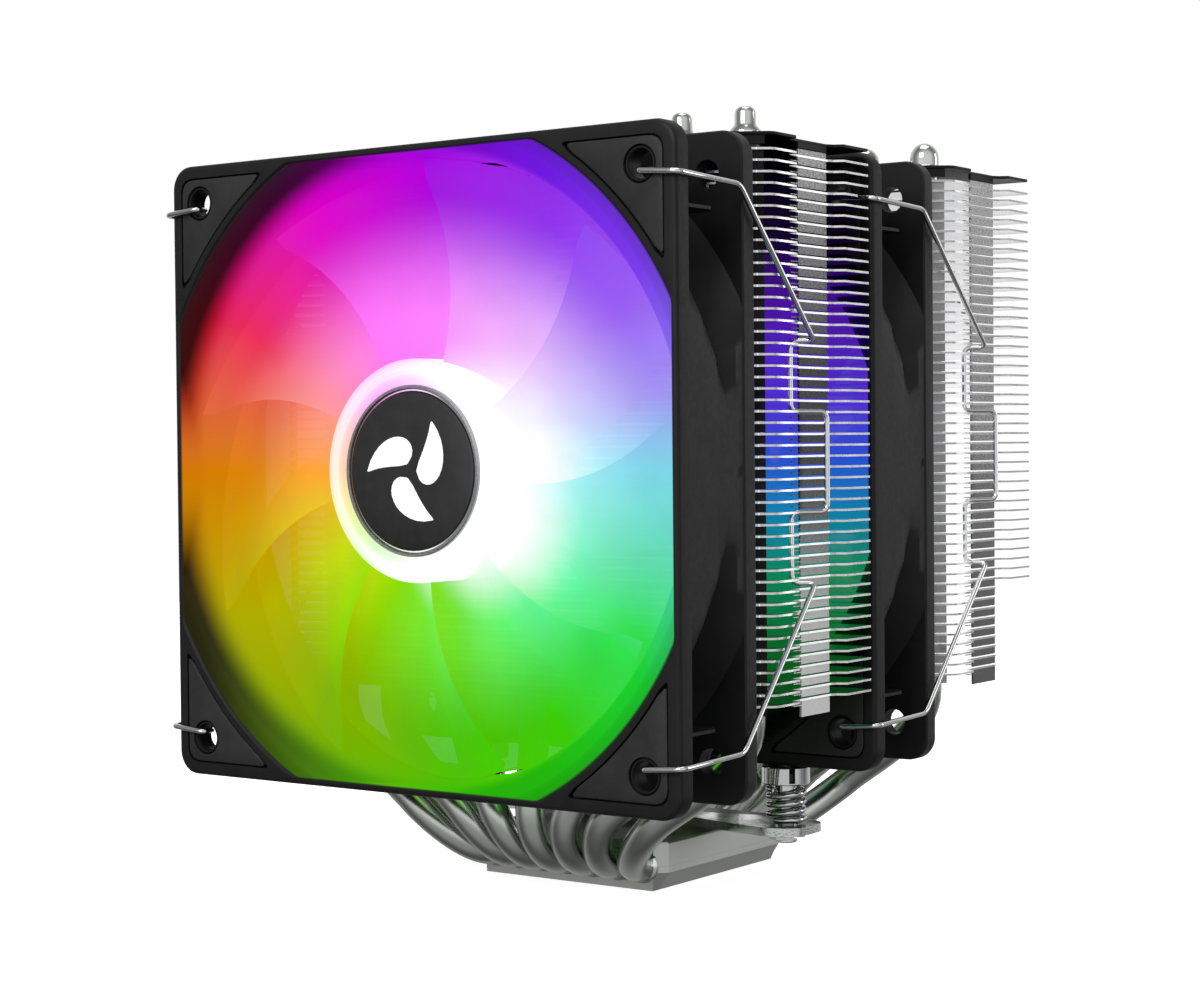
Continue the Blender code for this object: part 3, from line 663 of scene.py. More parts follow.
def fin_metal(tower):
    """Aluminium painted as lit and shaded copies by the way its faces point. In the front tower the cut edges
    carry a painted highlight and the faces a painted shade, and the lights tint the fins and their front
    edges. In the rear tower the edges are grey and the faces pale, with a painted glow that is brighter low
    down.
    """
    # bright and deep are painted light and shade: the colours of the fins' cut edges and of their faces
    bright, deep = (0.42, 0.50), (0.80, 0.80, 0.81)
    if tower == "front":
        bright, deep = (0.62, 0.74), (0.04, 0.04, 0.045)
    finish = Finish(f"{tower}_fin_metal", 0.8, 0.3, 0.7)
    x, y, z = finish.place()
    rim = abs(finish.normal()[2]).between(0.3, 0.7, 1.0, 0.0)
    streak = finish.noise(3.0, 3.0, (1, 2, 1))
    tone = finish.node("CombineColor", *[streak.between(0.3, 0.7, *bright)] * 3)
    finish.set("Base Color", finish.mix(rim, deep, tone))
    finish.vary("Roughness", streak, 0.24, 0.34)
    if tower == "front":
        finish.glow(front_fin_glow(finish, rim, x, y), 1.0)
    else:
        # Painted glow on the rear fins' faces, brighter low down
        finish.glow(finish.mix(rim, finish.mix(z.between(50, 140, 0.32, 0.16), 0.0, 1.0), 0.0), 1.0)
    finish.material.cycles.emission_sampling = "NONE"
    return finish.material


def tab_metal(tower):
    """Aluminium folded edgewise, with rolling marks. Its colour by height is painted light and shade: in the
    front tower a painted reflection of a dark room halfway up, in the rear tower darker low down.
    """
    finish = Finish(f"{tower}_tab_metal", 0.3, 0.38, 0.6)
    share = around(finish, "middle")[1].between(-47, 57, smooth=False)
    # stops paint a reflection by height into the colour
    stops = ((0.0, 0.72), (0.18, 0.55), (0.34, 0.17), (0.46, 0.045), (0.62, 0.035), (0.80, 0.20), (1.0, 0.42))
    if tower == "rear":
        stops = ((0.0, 0.10), (0.22, 0.12), (0.40, 0.20), (0.50, 0.36), (0.75, 0.42), (1.0, 0.52))
    marks = finish.noise(0.7, 3.0, (1, 1, 0.3)).between(0.40, 0.60)
    shade = 1.0 - marks * share.between(0.15, 0.45, 0.06, 0.5)
    dark = finish.node("CombineColor", shade, shade, shade)
    finish.set("Base Color", finish.mix(1.0, finish.ramp(share, stops), dark, "MULTIPLY"))
    finish.vary("Roughness", marks, 0.32, 0.45)
    return finish.material


def coating(name, tones, roughness, grains, bump, specular=0.5):
    """Plastic, rubber or paint. grains are the noises of its colour and of its roughness: size and detail."""
    finish = Finish(name, tones[0], roughness[0])
    finish.set("Specular IOR Level", specular)
    finish.vary("Base Color", finish.noise(*grains[0]), *tones)
    finish.vary("Roughness", finish.noise(*grains[1]), *roughness)
    if bump:
        finish.bump(finish.noise(*bump[0]), *bump[1:])
    return finish


def badge_gloss():
    finish = coating("badge_gloss", (0.006, 0.011), (0.12, 0.22), ((3.0,), (1.0,)), None)
    finish.set("Coat Weight", 0.6)
    finish.set("Coat Roughness", 0.08)
    return finish.material


def emblem_white():
    tones = ((0.84, 0.85, 0.88), (0.94, 0.95, 0.98))
    finish = coating("emblem_white", tones, (0.28, 0.42), ((1.4,), (0.6,)), None)
    # The emblem's glow is painted light; it holds no lamp
    finish.glow((0.9, 0.92, 1.0), 0.35)
    return finish.material


def drawn_metal(name, dark, light, roughness, grain, stretch=(1, 1, 1), depth=0.004):
    """Metal with the fine lines of rolling, drawing or brushing, which run the way it is stretched."""
    finish = Finish(name, light, roughness[0], 1.0)
    lines = finish.noise(grain, 3.0, stretch)
    blotch = finish.noise(grain * 22.0, 2.0)
    finish.vary("Base Color", (lines + blotch) * 0.5, dark, light)
    finish.vary("Roughness", lines, *roughness)
    finish.bump(lines, depth, 0.6)
    return finish.material


def satin_nickel(name, satin, tips, worn, shade):
    """Satin plating. tips is its roughness where the pipes' ends stand free, worn how much it varies, and
    shade scales the colour of its upward faces, a painted shade.
    """
    finish = Finish(name, (0.6, 0.62, 0.58), satin, 1.0)
    polish = finish.place()[2].between(142.0, 143.5)
    grain = finish.noise(7.0, 2.0)
    rubbed = grain.between(0.2, 0.8, satin - worn, satin + worn)
    finish.set("Roughness", polish.between(0.0, 1.0, rubbed, tips))
    plain = finish.mix(grain, (0.52, 0.55, 0.51), (0.56, 0.59, 0.545))
    # Painted shade: upward faces take a colour scaled by shade
    painted_top_shade = finish.normal()[2].between(0.70, 0.95)
    finish.set("Base Color", finish.mix(painted_top_shade, plain, [shade * part for part in (0.54, 0.57, 0.53)]))
    finish.bump(finish.noise(0.25, 2.0), 0.004, 0.4)
    return finish.material


def pressed_steel():
    """Polished sheet with speckled pressed edges. Its top faces are painted dark in blotches, a painted
    reflection of the fans above.
    """
    finish = Finish("bar", 0.6, 0.12, 1.0)
    specks = finish.noise(0.8, 3.0, (1, 1, 0.4)).between(0.30, 0.55)
    edge = finish.mix(specks, (0.42, 0.46, 0.43), (0.70, 0.74, 0.71))
    # band is a painted reflection of the fans on the top faces
    band = finish.mix(finish.noise(6.0, 1.0).between(0.42, 0.58), 0.04, 0.50)
    finish.set("Base Color", finish.mix(finish.normal()[2].between(0.70, 0.95), edge, band))
    finish.vary("Roughness", specks, 0.10, 0.22)
    return finish.material


def enamelled_wire():
    """Copper wire wound side by side, seen as fine ridges."""
    finish = Finish("winding", (0.72, 0.30, 0.13), 0.35, 1.0)
    turns = finish.noise(0.4, 1.0, (1, 0.25, 1))
    finish.vary("Base Color", turns, (0.42, 0.15, 0.06), (0.72, 0.30, 0.13))
    finish.bump(turns, 0.05, 1.0)
    return finish.material


def metals():
    grey_metals = {
        "chrome": ((0.64, 0.65, 0.66), (0.76, 0.77, 0.78), (0.05, 0.10), 1.5, (1, 1, 1), 0.001),
        "wire": (0.60, (0.68, 0.68, 0.67), (0.05, 0.09), 0.6, (1, 1, 1), 0.0005),
        "ring": ((0.34, 0.34, 0.35), (0.42, 0.42, 0.43), (0.35, 0.45), 0.6, (1, 1, 1), 0.001),
        "spring": ((0.50, 0.50, 0.51), 0.60, (0.08, 0.14), 0.6, (1, 1, 1), 0.001),
        # The folded nose strips are aluminium painted dark, a painted shade, darkest in the front tower
        "strip_front": ((0.006, 0.006, 0.007), (0.02, 0.02, 0.022), (0.3, 0.5), 0.5),
        "strip_rear": (0.20, 0.34, (0.3, 0.5), 0.5),
        "bronze": ((0.40, 0.24, 0.11), (0.56, 0.36, 0.18), (0.30, 0.45), 0.3, (1, 4, 1)),
        "magnet": ((0.05, 0.05, 0.055), (0.10, 0.10, 0.11), (0.50, 0.65), 0.4),
        # slot is the chrome screw's slot painted dark, a painted shade in the recess
        "slot": (0.03, 0.06, (0.4, 0.5), 0.6, (1, 1, 1), 0.001),
    }
    return {name: drawn_metal(name, *values) for name, values in grey_metals.items()}


def make_materials():
    pimples, paint = ((0.16, 3.0), 0.014, 0.6), ((0.3,), 0.01, 0.5)
    rubber = coating("pad_rubber", (0.010, 0.015), (0.52, 0.66), ((5.0,), (0.8,)), pimples, 0.35)
    blotches = (7.0, 2.0), (3.0, 2.0)
    black = coating("black_coating", (0.005, 0.006), (0.36, 0.42), blotches, paint, 0.12)
    greens = ((0.012, 0.09, 0.035), (0.03, 0.17, 0.07))
    made = metals()
    made.update({
        # The base's shade of 0.2 paints its top faces dark, a painted shade between the pipes
        "nickel": satin_nickel("nickel", 0.42, 0.42, 0.01, 0.2),
        "pipe_nickel": satin_nickel("pipe_nickel", 0.24, 0.09, 0.02, 1.0),
        "bar": pressed_steel(),
        "winding": enamelled_wire(),
        "board": coating("board_lacquer", greens, (0.28, 0.45), ((1.6, 2.0), (0.5,)), None).material,
        "rubber": rubber.material,
        "black": black.material,
        "badge": badge_gloss(),
        "emblem": emblem_white(),
    })
    for tower in TOWER_FRONT:
        made[f"tabs_{tower}"] = tab_metal(tower)
        made[f"fins_{tower}"] = fin_metal(tower)
    for fan, blades, spill in (("front", 1.05, 0.95), ("middle", 0.9, 0.12)):
        made[f"{fan}_blades"] = blade_plastic(fan, blades)
        made[f"{fan}_hub"] = hub_plastic(fan, blades)
        made[f"{fan}_frame"] = frame_plastic(fan, spill)
    return made


# --- Fan frame ---


def frame_angles():
    """Stations round the frame in radians, closer together round its rounded corners."""
    quarter = [45.0 + 0.32 * step for step in range(-7, 8)]
    for step in range(int(90 / FRAME_STEP)):
        if abs(step * FRAME_STEP - 45.0) > 2.5:
            quarter.append(step * FRAME_STEP)
    return [math.radians(angle + 90.0 * turn) for turn in QUARTERS for angle in sorted(quarter)]


def square_reach(angle, half, corner):
    """Distance from the centre to a rounded square along an angle."""
    u, v = sorted((abs(math.cos(angle)), abs(math.sin(angle))))
    straight = half / v
    centre = half - corner
    if straight * u <= centre:
        return straight
    middle = centre * (u + v)
    return middle + math.sqrt(max(middle * middle - 2 * centre * centre + corner * corner, 0.0))


def square_loop(depth, inward=0.0):
    """The frame's outer edge, moved inwards."""
    loop = []
    for angle in frame_angles():
        reach = square_reach(angle, FAN_HALF - inward, FAN_CORNER_R - inward * 0.6)
        x, z = polar(reach, angle)
        loop.append((x, depth, z))
    return loop


def round_loop(depth, radius, half):
    """A circle flattened where it passes the half width."""
    loop = []
    for angle in frame_angles():
        x, z = (max(-half, min(half, part)) for part in polar(radius, angle))
        loop.append((x, depth, z))
    return loop


def edge_loops(face, outward):
    """Loops round an outer edge's bevel. face is the depth of its flat side, outward is 1 or -1."""
    loops = []
    for step in range(4):
        angle = math.pi / 2 * step / 3
        depth = face + outward * FAN_EDGE_R * (1 - math.sin(angle))
        loops.append(square_loop(depth, FAN_EDGE_R * (1 - math.cos(angle))))
    return loops


def mouth_radius(depth):
    """The bell mouth's quarter ellipse."""
    part = 1 - depth / DUCT_START
    return DUCT_R + (MOUTH_R - DUCT_R) * (1 - math.sqrt(max(1 - part * part, 0.0)))


def frame_body():
    outside = edge_loops(0.0, 1)[::-1] + [square_loop(FLANGE - 0.3), square_loop(FLANGE, 0.3)]
    outside += [round_loop(depth, radius, BARREL_HALF) for depth, radius in BARREL]
    outside += [square_loop(FAN_DEPTH - FLANGE, 0.3), square_loop(FAN_DEPTH - FLANGE + 0.3)]
    outside += edge_loops(FAN_DEPTH, -1)
    duct = [
        (FAN_DEPTH, DUCT_REAR_R + 0.4, BARREL_HALF - 0.3),
        (FAN_DEPTH - 0.4, DUCT_REAR_R, MOUTH_HALF + 0.8),
        (DUCT_END, DUCT_R, MOUTH_HALF),
    ]
    for step in range(10):
        depth = DUCT_START * (1 - math.sin(math.pi / 2 * step / 10))
        duct.append((max(depth, MOUTH_LIP), mouth_radius(depth), MOUTH_HALF))
    duct += [(MOUTH_LIP, MOUTH_R, MOUTH_HALF), (0.0, MOUTH_R + MOUTH_LIP, MOUTH_HALF + MOUTH_LIP)]
    shape = Shape()
    shape.loft(outside + [round_loop(*one) for one in duct], endless=True)
    return shape


def pad_outline(margin):
    """A corner pad in the +X +Z corner: its long side follows the mouth, and its tips are rounded."""
    edge = PAD_EDGE + margin
    radius = PAD_ARC_R - margin
    start = math.acos((edge - 0.9) / radius)
    angles = [start + (math.pi / 2 - 2 * start) * step / 16 for step in range(17)]
    arc = [polar(radius, angle) for angle in angles]
    tip = arc[-1]
    upper = rounded([tip, (tip[0] + 0.4, edge), (edge, edge), (edge, tip[0] + 0.4), arc[0]], 3.0, 6)
    return arc[1:-1] + upper[7:28]


def pad_blank():
    """A pad with a bevelled front, before its hole is cut."""
    outline = pad_outline(0.0)
    bevel = [(inset(outline, 0.22), 0.0), (inset(outline, 0.066), 0.066), (outline, 0.22)]
    shape = Shape()
    shape.upright([*bevel, (outline, PAD_THICK)])
    return shape


def hole_rods(radius):
    shape = Shape()
    start, end = -1.0, FAN_DEPTH + 1.0
    for centre in HOLES:
        shape.turned([(0, start), (radius, start), (radius, end), (0, end)], 32, "Y", centre)
    return shape


def recesses():
    """What the pads' pockets take out of the frame."""
    shape = Shape()
    deep = PAD_THICK + PAD_GAP
    outline = pad_outline(PAD_GAP)
    for quarter in QUARTERS:
        for front, rear in ((-1.0, deep), (FAN_DEPTH - deep, FAN_DEPTH + 1.0)):
            one = Shape()
            one.upright([(outline, front), (outline, rear)])
            shape.add(one, quarter_turn(quarter))
    return shape


def add_collars(shape):
    """A raised ring round each fixing hole, which stands in the pad's hole."""
    section = ((3.1, 1.6), (3.1, 0.35), (2.95, 0.15), (2.75, 0.15), (HOLE_R, 0.5), (HOLE_R, 1.6))
    for centre in HOLES:
        for base, way in ((0.0, 1.0), (FAN_DEPTH, -1.0)):
            shape.turned([(radius, base + way * depth) for radius, depth in section], 32, "Y", centre)


def add_ribs(shape):
    """A thin rib that braces the front flange beside each corner pocket."""
    outline = [(45.0, FLANGE - 0.2), (59.2, FLANGE - 0.2), (59.2, 12.0), (57.0, 15.5), (45.0, 15.5)]
    for quarter in QUARTERS:
        for z in (-45.4, 45.4):
            one = Shape()
            one.plate(outline, [], z - 0.3, z + 0.3)
            shape.add(one, quarter_turn(quarter))


def add_motor_seat(shape):
    """The disc behind the motor with its bearing tube, and the four curved arms that carry it."""
    profile = [(0, 24.6), (6.0, 24.6), (6.4, 24.3), (14.0, 24.3), (14.4, 24.6), (21.4, 24.6), (22.0, 24.0)]
    profile += [(22.0, 21.4), (5.0, 21.4), (5.0, 8.0), (3.9, 8.0), (3.9, 21.0), (0, 21.0)]
    shape.turned(profile, 72)
    section = rounded([(-2.1, 21.9), (2.1, 21.9), (1.5, 24.5), (-1.5, 24.5)], 0.7, 3)
    for arm in QUARTERS:
        rings = []
        for step in range(13):
            part = step / 12
            angle = math.radians(45 + 90 * arm + 14 * (1 - part) ** 2)
            out = Vector(polar(1.0, angle))
            side = Vector((-out.y, out.x))
            middle = out * (18.0 + (59.2 - 18.0) * part)
            wide = 1.25 - 0.35 * part
            places = [(middle + side * across * wide, depth) for across, depth in section]
            rings.append([(place.x, depth, place.y) for place, depth in places])
        shape.loft(rings)


def fan_frame(fan, materials):
    body = cut(frame_body().mesh("frame"), recesses().mesh("recess"), hole_rods(HOLE_R).mesh("rods"))
    extras = Shape()
    add_collars(extras)
    add_ribs(extras)
    add_motor_seat(extras)
    mesh = together(body, extras.mesh("extras"))
    mesh.transform(Matrix.Translation(FAN_PLACE[fan]))
    piece(f"{fan}_frame", mesh, materials[f"{fan}_frame"], "cooler", "frame_plastic", f"{fan}_fan_frame")


def corner_pads(fan, materials):
    pad = cut(pad_blank().mesh("pad"), hole_rods(PAD_HOLE_R).mesh("rods"))
    to_rear = Matrix.Translation((0, FAN_DEPTH * MM, 0)) @ Matrix.Scale(-1, 4, (0, 1, 0))
    for face, mirror in (("front", Matrix.Identity(4)), ("rear", to_rear)):
        for quarter, corner in enumerate(("top_right", "top_left", "bottom_left", "bottom_right")):
            mesh = pad.copy()
            mesh.transform(Matrix.Translation(FAN_PLACE[fan]) @ mirror @ quarter_turn(quarter))
            if face == "rear":
                mesh.flip_normals()
            name = f"{face}_pad_{corner}"
            piece(f"{fan}_{name}", mesh, materials["rubber"], "cooler", "pad_rubber", f"{fan}_fan_{name}")


# --- Impeller ---


def blade(shape, number):
    """One swept, twisted blade with a rounded leading edge and a thin trailing edge."""
    rings = []
    for station in range(13):
        part = station / 12
        radius = BLADE_ROOT_R + (BLADE_TIP_R - BLADE_ROOT_R) * part
        middle = 360.0 / BLADES * number + BLADE_SWEEP * part ** 1.5
        tip_round = math.sqrt(1 - max(0.0, (part - 0.86) / 0.14) ** 2 * 0.12)
        upper, lower = [], []
        for step in range(13):
            chord = step / 12
            angle = math.radians(middle + BLADE_SPAN * (1.20 - 0.20 * part) * (0.5 - chord) * tip_round)
            depth = BLADE_FRONT + (BLADE_REAR - BLADE_FRONT) * (chord + 0.10 * math.sin(math.pi * chord))
            depth += (0.5 - chord) * (1 - tip_round) * 6
            bulge = math.sqrt(math.sin(math.pi * min(chord * 0.9 + 0.06, 1.0)))
            half = 0.16 + 0.55 * bulge * (1 - 0.4 * part)
            x, z = polar(radius, angle)
            upper.append((x, depth - half, z))
            lower.append((x, depth + half, z))
        rings.append(upper + lower[::-1])
    shape.loft(rings)


def hub_profile():
    """A cup open to the rear, with a seat for the badge and a boss for the shaft."""
    profile = [(0, 2.2), (16.1, 2.2), (16.1, 1.35), (16.25, HUB_FRONT)]
    profile += [(17.9, HUB_FRONT), (18.1, 1.42), (18.4, 1.42), (18.6, HUB_FRONT)]
    for step in range(7):
        angle = math.pi / 2 * step / 6
        profile.append((HUB_R - 1.0 + math.sin(angle), HUB_FRONT + 1.0 - math.cos(angle)))
    profile += [(HUB_R, HUB_REAR), (18.7, HUB_REAR), (18.7, 4.4), (4.2, 4.4), (4.2, 6.6), (1.8, 6.6)]
    return profile + [(1.8, 3.4), (0, 3.4)]


def emblem_shape():
    """Three curved petals, a plain sign for a fan."""
    shape = Shape()
    inner, outer = 1.5, 10.4
    for petal in range(3):
        sides = [[], []]
        for step in range(15):
            part = step / 14
            angle = math.radians(120 * petal + 60 * part ** 1.3)
            width = 0.12 + 3.5 * math.sin(math.pi * part ** 0.8) ** 0.8
            spine = Vector(polar(1.0, angle)) * (inner + (outer - inner) * part)
            across = Vector((-math.sin(angle), math.cos(angle)))
            sides[0].append(tuple(spine + across * width))
            sides[1].append(tuple(spine - across * width))
        outline = sides[0] + sides[1][::-1]
        shape.upright([(inset(outline, 0.07), 0.80), (outline, 0.87), (outline, 1.05)])
    return shape


def impeller(fan, materials):
    blades = Shape()
    for number in range(BLADES):
        blade(blades, number)
    hub, badge, ring = Shape(), Shape(), Shape()
    hub.turned(hub_profile(), 96)
    badge.turned([(0, 0.97), (8.0, 0.99), (14.2, 1.06), (14.6, 1.15), (14.8, 1.4), (14.8, 1.9), (0, 1.9)], 72)
    ring.turned([(15.1, 1.15), (15.25, 0.9), (15.65, 0.9), (15.9, 1.15), (15.9, 1.9), (15.1, 1.9)], 96)
    own = f"{fan}_fan"
    for name, shape, sharp, finish, slot, replaced in (
        ("hub", hub, 32, f"{fan}_hub", "impeller_plastic", []),
        ("blades", blades, 60, f"{fan}_blades", "impeller_plastic", [f"{own}_impeller"]),
        ("badge", badge, 32, "badge", "badge_black", [f"{own}_badge"]),
        ("badge_ring", ring, 32, "ring", "polished_steel", [f"{own}_badge_ring"]),
        ("emblem", emblem_shape(), 32, "emblem", "polished_steel", []),
    ):
        mesh = shape.mesh(name, FAN_PLACE[fan], sharp)
        piece(f"{fan}_{name}", mesh, materials[finish], f"{fan}_impeller", slot, *replaced)


def dress(node, material):
    """Gives a CAD node that stays its material."""
    obj = frame["nodes"][node]
    if not obj.material_slots:
        obj.data.materials.append(material)
    for slot in obj.material_slots:
        slot.material = material


def motor_parts(fan, materials):
    """The CAD model's own motor parts, inside the hub."""
    for node, finish in (
        ("stator", "winding"),
        ("magnet_ring", "magnet"),
        ("light_board", "board"),
        ("bearing", "bronze"),
        ("shaft", "chrome"),
    ):
        dress(f"{fan}_fan_{node}", materials[finish])


# --- Towers ---


def fin_outline(front, short, notched=False):
    """A fin from above. A short one stops behind its tabs. A notched one leaves the clips room to swing."""
    half = [
        (NOSE_HALF, 0.0),
        (NOSE_HALF + 1.2, 0.5),
        (FIN_HALF - 0.5, NOSE_DEPTH - 0.6),
        (FIN_HALF, NOSE_DEPTH + 0.4),
        (FIN_HALF, 14.3),
        (FIN_HALF - 0.5, 14.6),
        (58.0, 14.8),
        (57.8, 16.4),
        (TAB_HALF, TAB_START),
        (TAB_HALF, TAB_END),
    ]
    if not short:
        half += [(57.9, 29.9), (58.2, 30.6), (FIN_HALF, 31.6)]
        half += [(FIN_HALF, TOWER_DEPTH - 4.1), (52.0, TOWER_DEPTH)] if notched else [(FIN_HALF, TOWER_DEPTH)]
    return mirrored([(x, front + y) for x, y in half])


def pipe_places(front):
    return [(math.copysign(PIPE_X[abs(index)], index), front + PIPE_ROW) for index in range(-3, 4)]


def folded_strips(shape, front, start, end, thick, low, high):
    """An upright strip at either side, folded from a fin's edge, inside the line from start to end."""
    for sign in (-1, 1):
        start_point, end_point = (Vector((sign * x, front + y)) for x, y in (start, end))
        along = (end_point - start_point).normalized()
        inward = Vector((-along.y, along.x)) * thick
        if inward.x * sign > 0:
            inward.negate()
        outline = [start_point, end_point, end_point + inward, start_point + inward]
        shape.plate([tuple(point) for point in outline], [], low, high)


def fin_stack(tower, materials):
    low, high = heights(f"fin_stack_{tower}")
    bottom = low + 3.0
    front = TOWER_FRONT[tower]
    pitch = (high - bottom - FIN_THICK) / (FINS - 1)
    gap = pitch - FIN_THICK
    places = pipe_places(front)
    holes = [circle(PIPE_R + 0.05, 16, place) for place in places]
    tab = (TAB_PROUD, TAB_START + 0.1), (TAB_PROUD, TAB_END - 0.1)
    hook = FAN_PLACE["middle"].z / MM + CLIP_HOOK
    fins, tabs, strips = Shape(), Shape(), Shape()
    for fin in range(FINS):
        at = bottom + fin * pitch
        short = tower == "rear" and at < CUTAWAY_TOP
        notched = tower == "front" and abs(at + FIN_THICK / 2 - hook) < 1.2
        fins.plate(fin_outline(front, short, notched), holes, at, at + FIN_THICK)
        folded_strips(tabs, front, *tab, FIN_THICK, at - (gap - 0.26 if fin else 3.0), at - 0.02)
        tongue = at - gap / 2
        folded_strips(tabs, front, (57.2, 16.6), (57.5, TAB_START), 0.5, tongue - 0.07, tongue + 0.07)
        folded_strips(strips, front, (53.2, 2.1), (58.2, 5.7), 0.3, at - gap + 0.12, at + 0.1)
        for place in places:
            collar = ((0.04, 0.3), (0.45, 0.3), (0.28, 1.1), (0.04, 1.1))
            fins.turned([(PIPE_R + out, at + up) for out, up in collar], 14, "Z", place)
    folded_strips(tabs, front, *tab, FIN_THICK, high + 0.02, high + 1.1)
    node = f"fin_stack_{tower}"
    piece(f"fins_{tower}", fins.mesh("fins"), materials[f"fins_{tower}"], "cooler", "aluminium", node)
    piece(f"tabs_{tower}", tabs.mesh("tabs"), materials[f"tabs_{tower}"], "cooler", "aluminium")
    # The nose strips' material is a painted shade
    piece(f"strips_{tower}", strips.mesh("strips"), materials[f"strip_{tower}"], "cooler", "aluminium")


def top_fin(tower, materials):
    low, high = heights(f"top_fin_{tower}")
    front = TOWER_FRONT[tower]
    holes = [circle(PIPE_R + 0.3, 24, place) for place in pipe_places(front)]
    shape = Shape()
    shape.plate(fin_outline(front, False), holes, high - 0.6, high)
    folded_strips(shape, front, (TAB_HALF, TAB_START), (TAB_HALF, TAB_END), 0.6, low + 0.9, high - 0.3)
    folded_strips(shape, front, (53.6, 2.1), (58.5, 5.6), 0.5, low + 0.3, high - 0.3)
    mesh = shape.mesh("top")
    obj = piece(f"top_{tower}", mesh, materials["black"], "cooler", "black_fin", f"top_fin_{tower}")
    bevelled(obj, 0.12, 1)


# --- Heat pipes ---


def pipe_rise(xs, side, row):
    """From the base's edge up to where the pipe stands straight, in two smooth bends."""
    leave = Vector((xs[0], side * 22.0, PIPE_BED))
    splay = Vector((xs[1], row + side * 1.7, 15.6))
    stand = Vector((xs[2], row, 36.0))
    slant = Vector((xs[2] - xs[1], 0.0, 16.0)).normalized()
    first = interpolate_bezier(leave, leave + Vector((0, side * 8.0, 0)), splay - slant * 5.0, splay, 18)
    second = interpolate_bezier(splay, splay + slant * 7.0, stand - Vector((0, 0, 9.0)), stand, 16)
    return first + second[1:]


def pipe_ends(index):
    """Heights and radii up both ends of a pipe: crimped shut in front, domed at the rear."""
    crimp = [(144.9, 3.0), (145.3, 2.9), (146.0, 2.25), (146.5, 2.0)]
    crimp += [(148.6, 1.95), (149.2, 1.7), (149.6, 1.2)]
    if index < 2:
        crimp = [(min(height, height - (height - 146.0) * 0.3), radius) for height, radius in crimp]
    angles = [math.pi / 2 * step / 8 for step in range(8)]
    return crimp, [(146.4 + 3.2 * math.sin(angle), 3.0 * math.cos(angle)) for angle in angles]


def heat_pipe(index, materials):
    """One U-shaped pipe with a washer under either end."""
    order = abs(index)
    xs = (index * PIPE_PITCH, math.copysign(PIPE_SPLAY_X[order], index), math.copysign(PIPE_X[order], index))
    shape = Shape()
    legs = []
    for side, tower, ends in zip((-1, 1), ("front", "rear"), pipe_ends(index)):
        row = TOWER_FRONT[tower] + PIPE_ROW
        leg = [(point, PIPE_R) for point in pipe_rise(xs, side, row)]
        legs.append(leg + [(Vector((xs[2], row, height)), radius) for height, radius in ends])
    path, radii = zip(*legs[0][::-1], *legs[1])
    shape.tube(path, radii, 28)
    for tower in TOWER_FRONT:
        washer = [(3.02, 143.7), (4.5, 143.7), (4.5, 144.1), (4.2, 144.35), (3.4, 144.5), (3.02, 144.9)]
        shape.turned(washer, 32, "Z", (xs[2], TOWER_FRONT[tower] + PIPE_ROW))
    mesh = shape.mesh("pipe", sharp=50)
    piece(f"pipe_{index + 4}", mesh, materials["pipe_nickel"], "cooler", "nickel", f"heat_pipe_{index + 4}")


# --- Base, crossbar and screws ---


def channel_arcs(sign):
    """The scalloped edge that beds the seven pipes, from +X to -X: below them or above them."""
    radius = PIPE_R + 0.12
    outline = []
    inner = math.acos(PIPE_PITCH / 2 / radius)
    outer = math.asin(0.1 / radius)
    for pipe in range(3, -4, -1):
        start = outer if pipe == 3 else inner
        end = outer if pipe == -3 else inner
        for step in range(14 if pipe > -3 else 15):
            angle = start + (math.pi - start - end) * step / 14
            x, z = polar(radius, angle)
            outline.append((pipe * PIPE_PITCH + x, PIPE_BED + sign * z))
    return outline


def block(outline, half, front, rear):
    """An outline run from front to rear, with its upright edges chamfered, more so in front."""
    shape = Shape()
    rings = []
    for depth, inward in ((front, 2.2), (front + 2.2, 0.0), (rear - 0.6, 0.0), (rear, 0.6)):
        limit = half - inward
        rings.append(([(max(-limit, min(limit, x)), z) for x, z in outline], depth))
    shape.upright(rings)
    return shape


def base_plates(materials):
    low, high = (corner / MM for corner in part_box("cold_plate"))
    top = heights("base_cover")[1]
    half = high.x + 0.9
    foot = half - 2.4
    under, over = PIPE_BED - 0.01, PIPE_BED + 0.01
    lower = [(half, under), *channel_arcs(-1), (-half, under), (-half, 3.6)]
    lower += [(-foot, low.z), (foot, low.z), (half, 3.6)]
    upper = [(half, over), *channel_arcs(1), (-half, over), (-half, top - 0.3), (0.3 - half, top)]
    upper += [(half - 0.3, top), (half, top - 0.3)]
    for name, outline in (("cold_plate", lower), ("base_cover", upper)):
        mesh = block(outline, half, low.y, high.y).mesh(name, sharp=20)
        piece(f"{name}_body", mesh, materials["nickel"], "cooler", "nickel", name)
    beads = Shape()
    section = ((0.0, 21.7), (0.55, 21.7), (0.42, 22.15), (0.1, 22.5), (0.0, 22.6))
    for index in range(-3, 4):
        for side in (-1, 1):
            ring = [(PIPE_R + out, side * depth) for out, depth in section]
            beads.turned(ring, 28, "Y", (index * PIPE_PITCH, PIPE_BED))
    piece("solder_beads", beads.mesh("beads"), materials["chrome"], "cooler", "nickel")


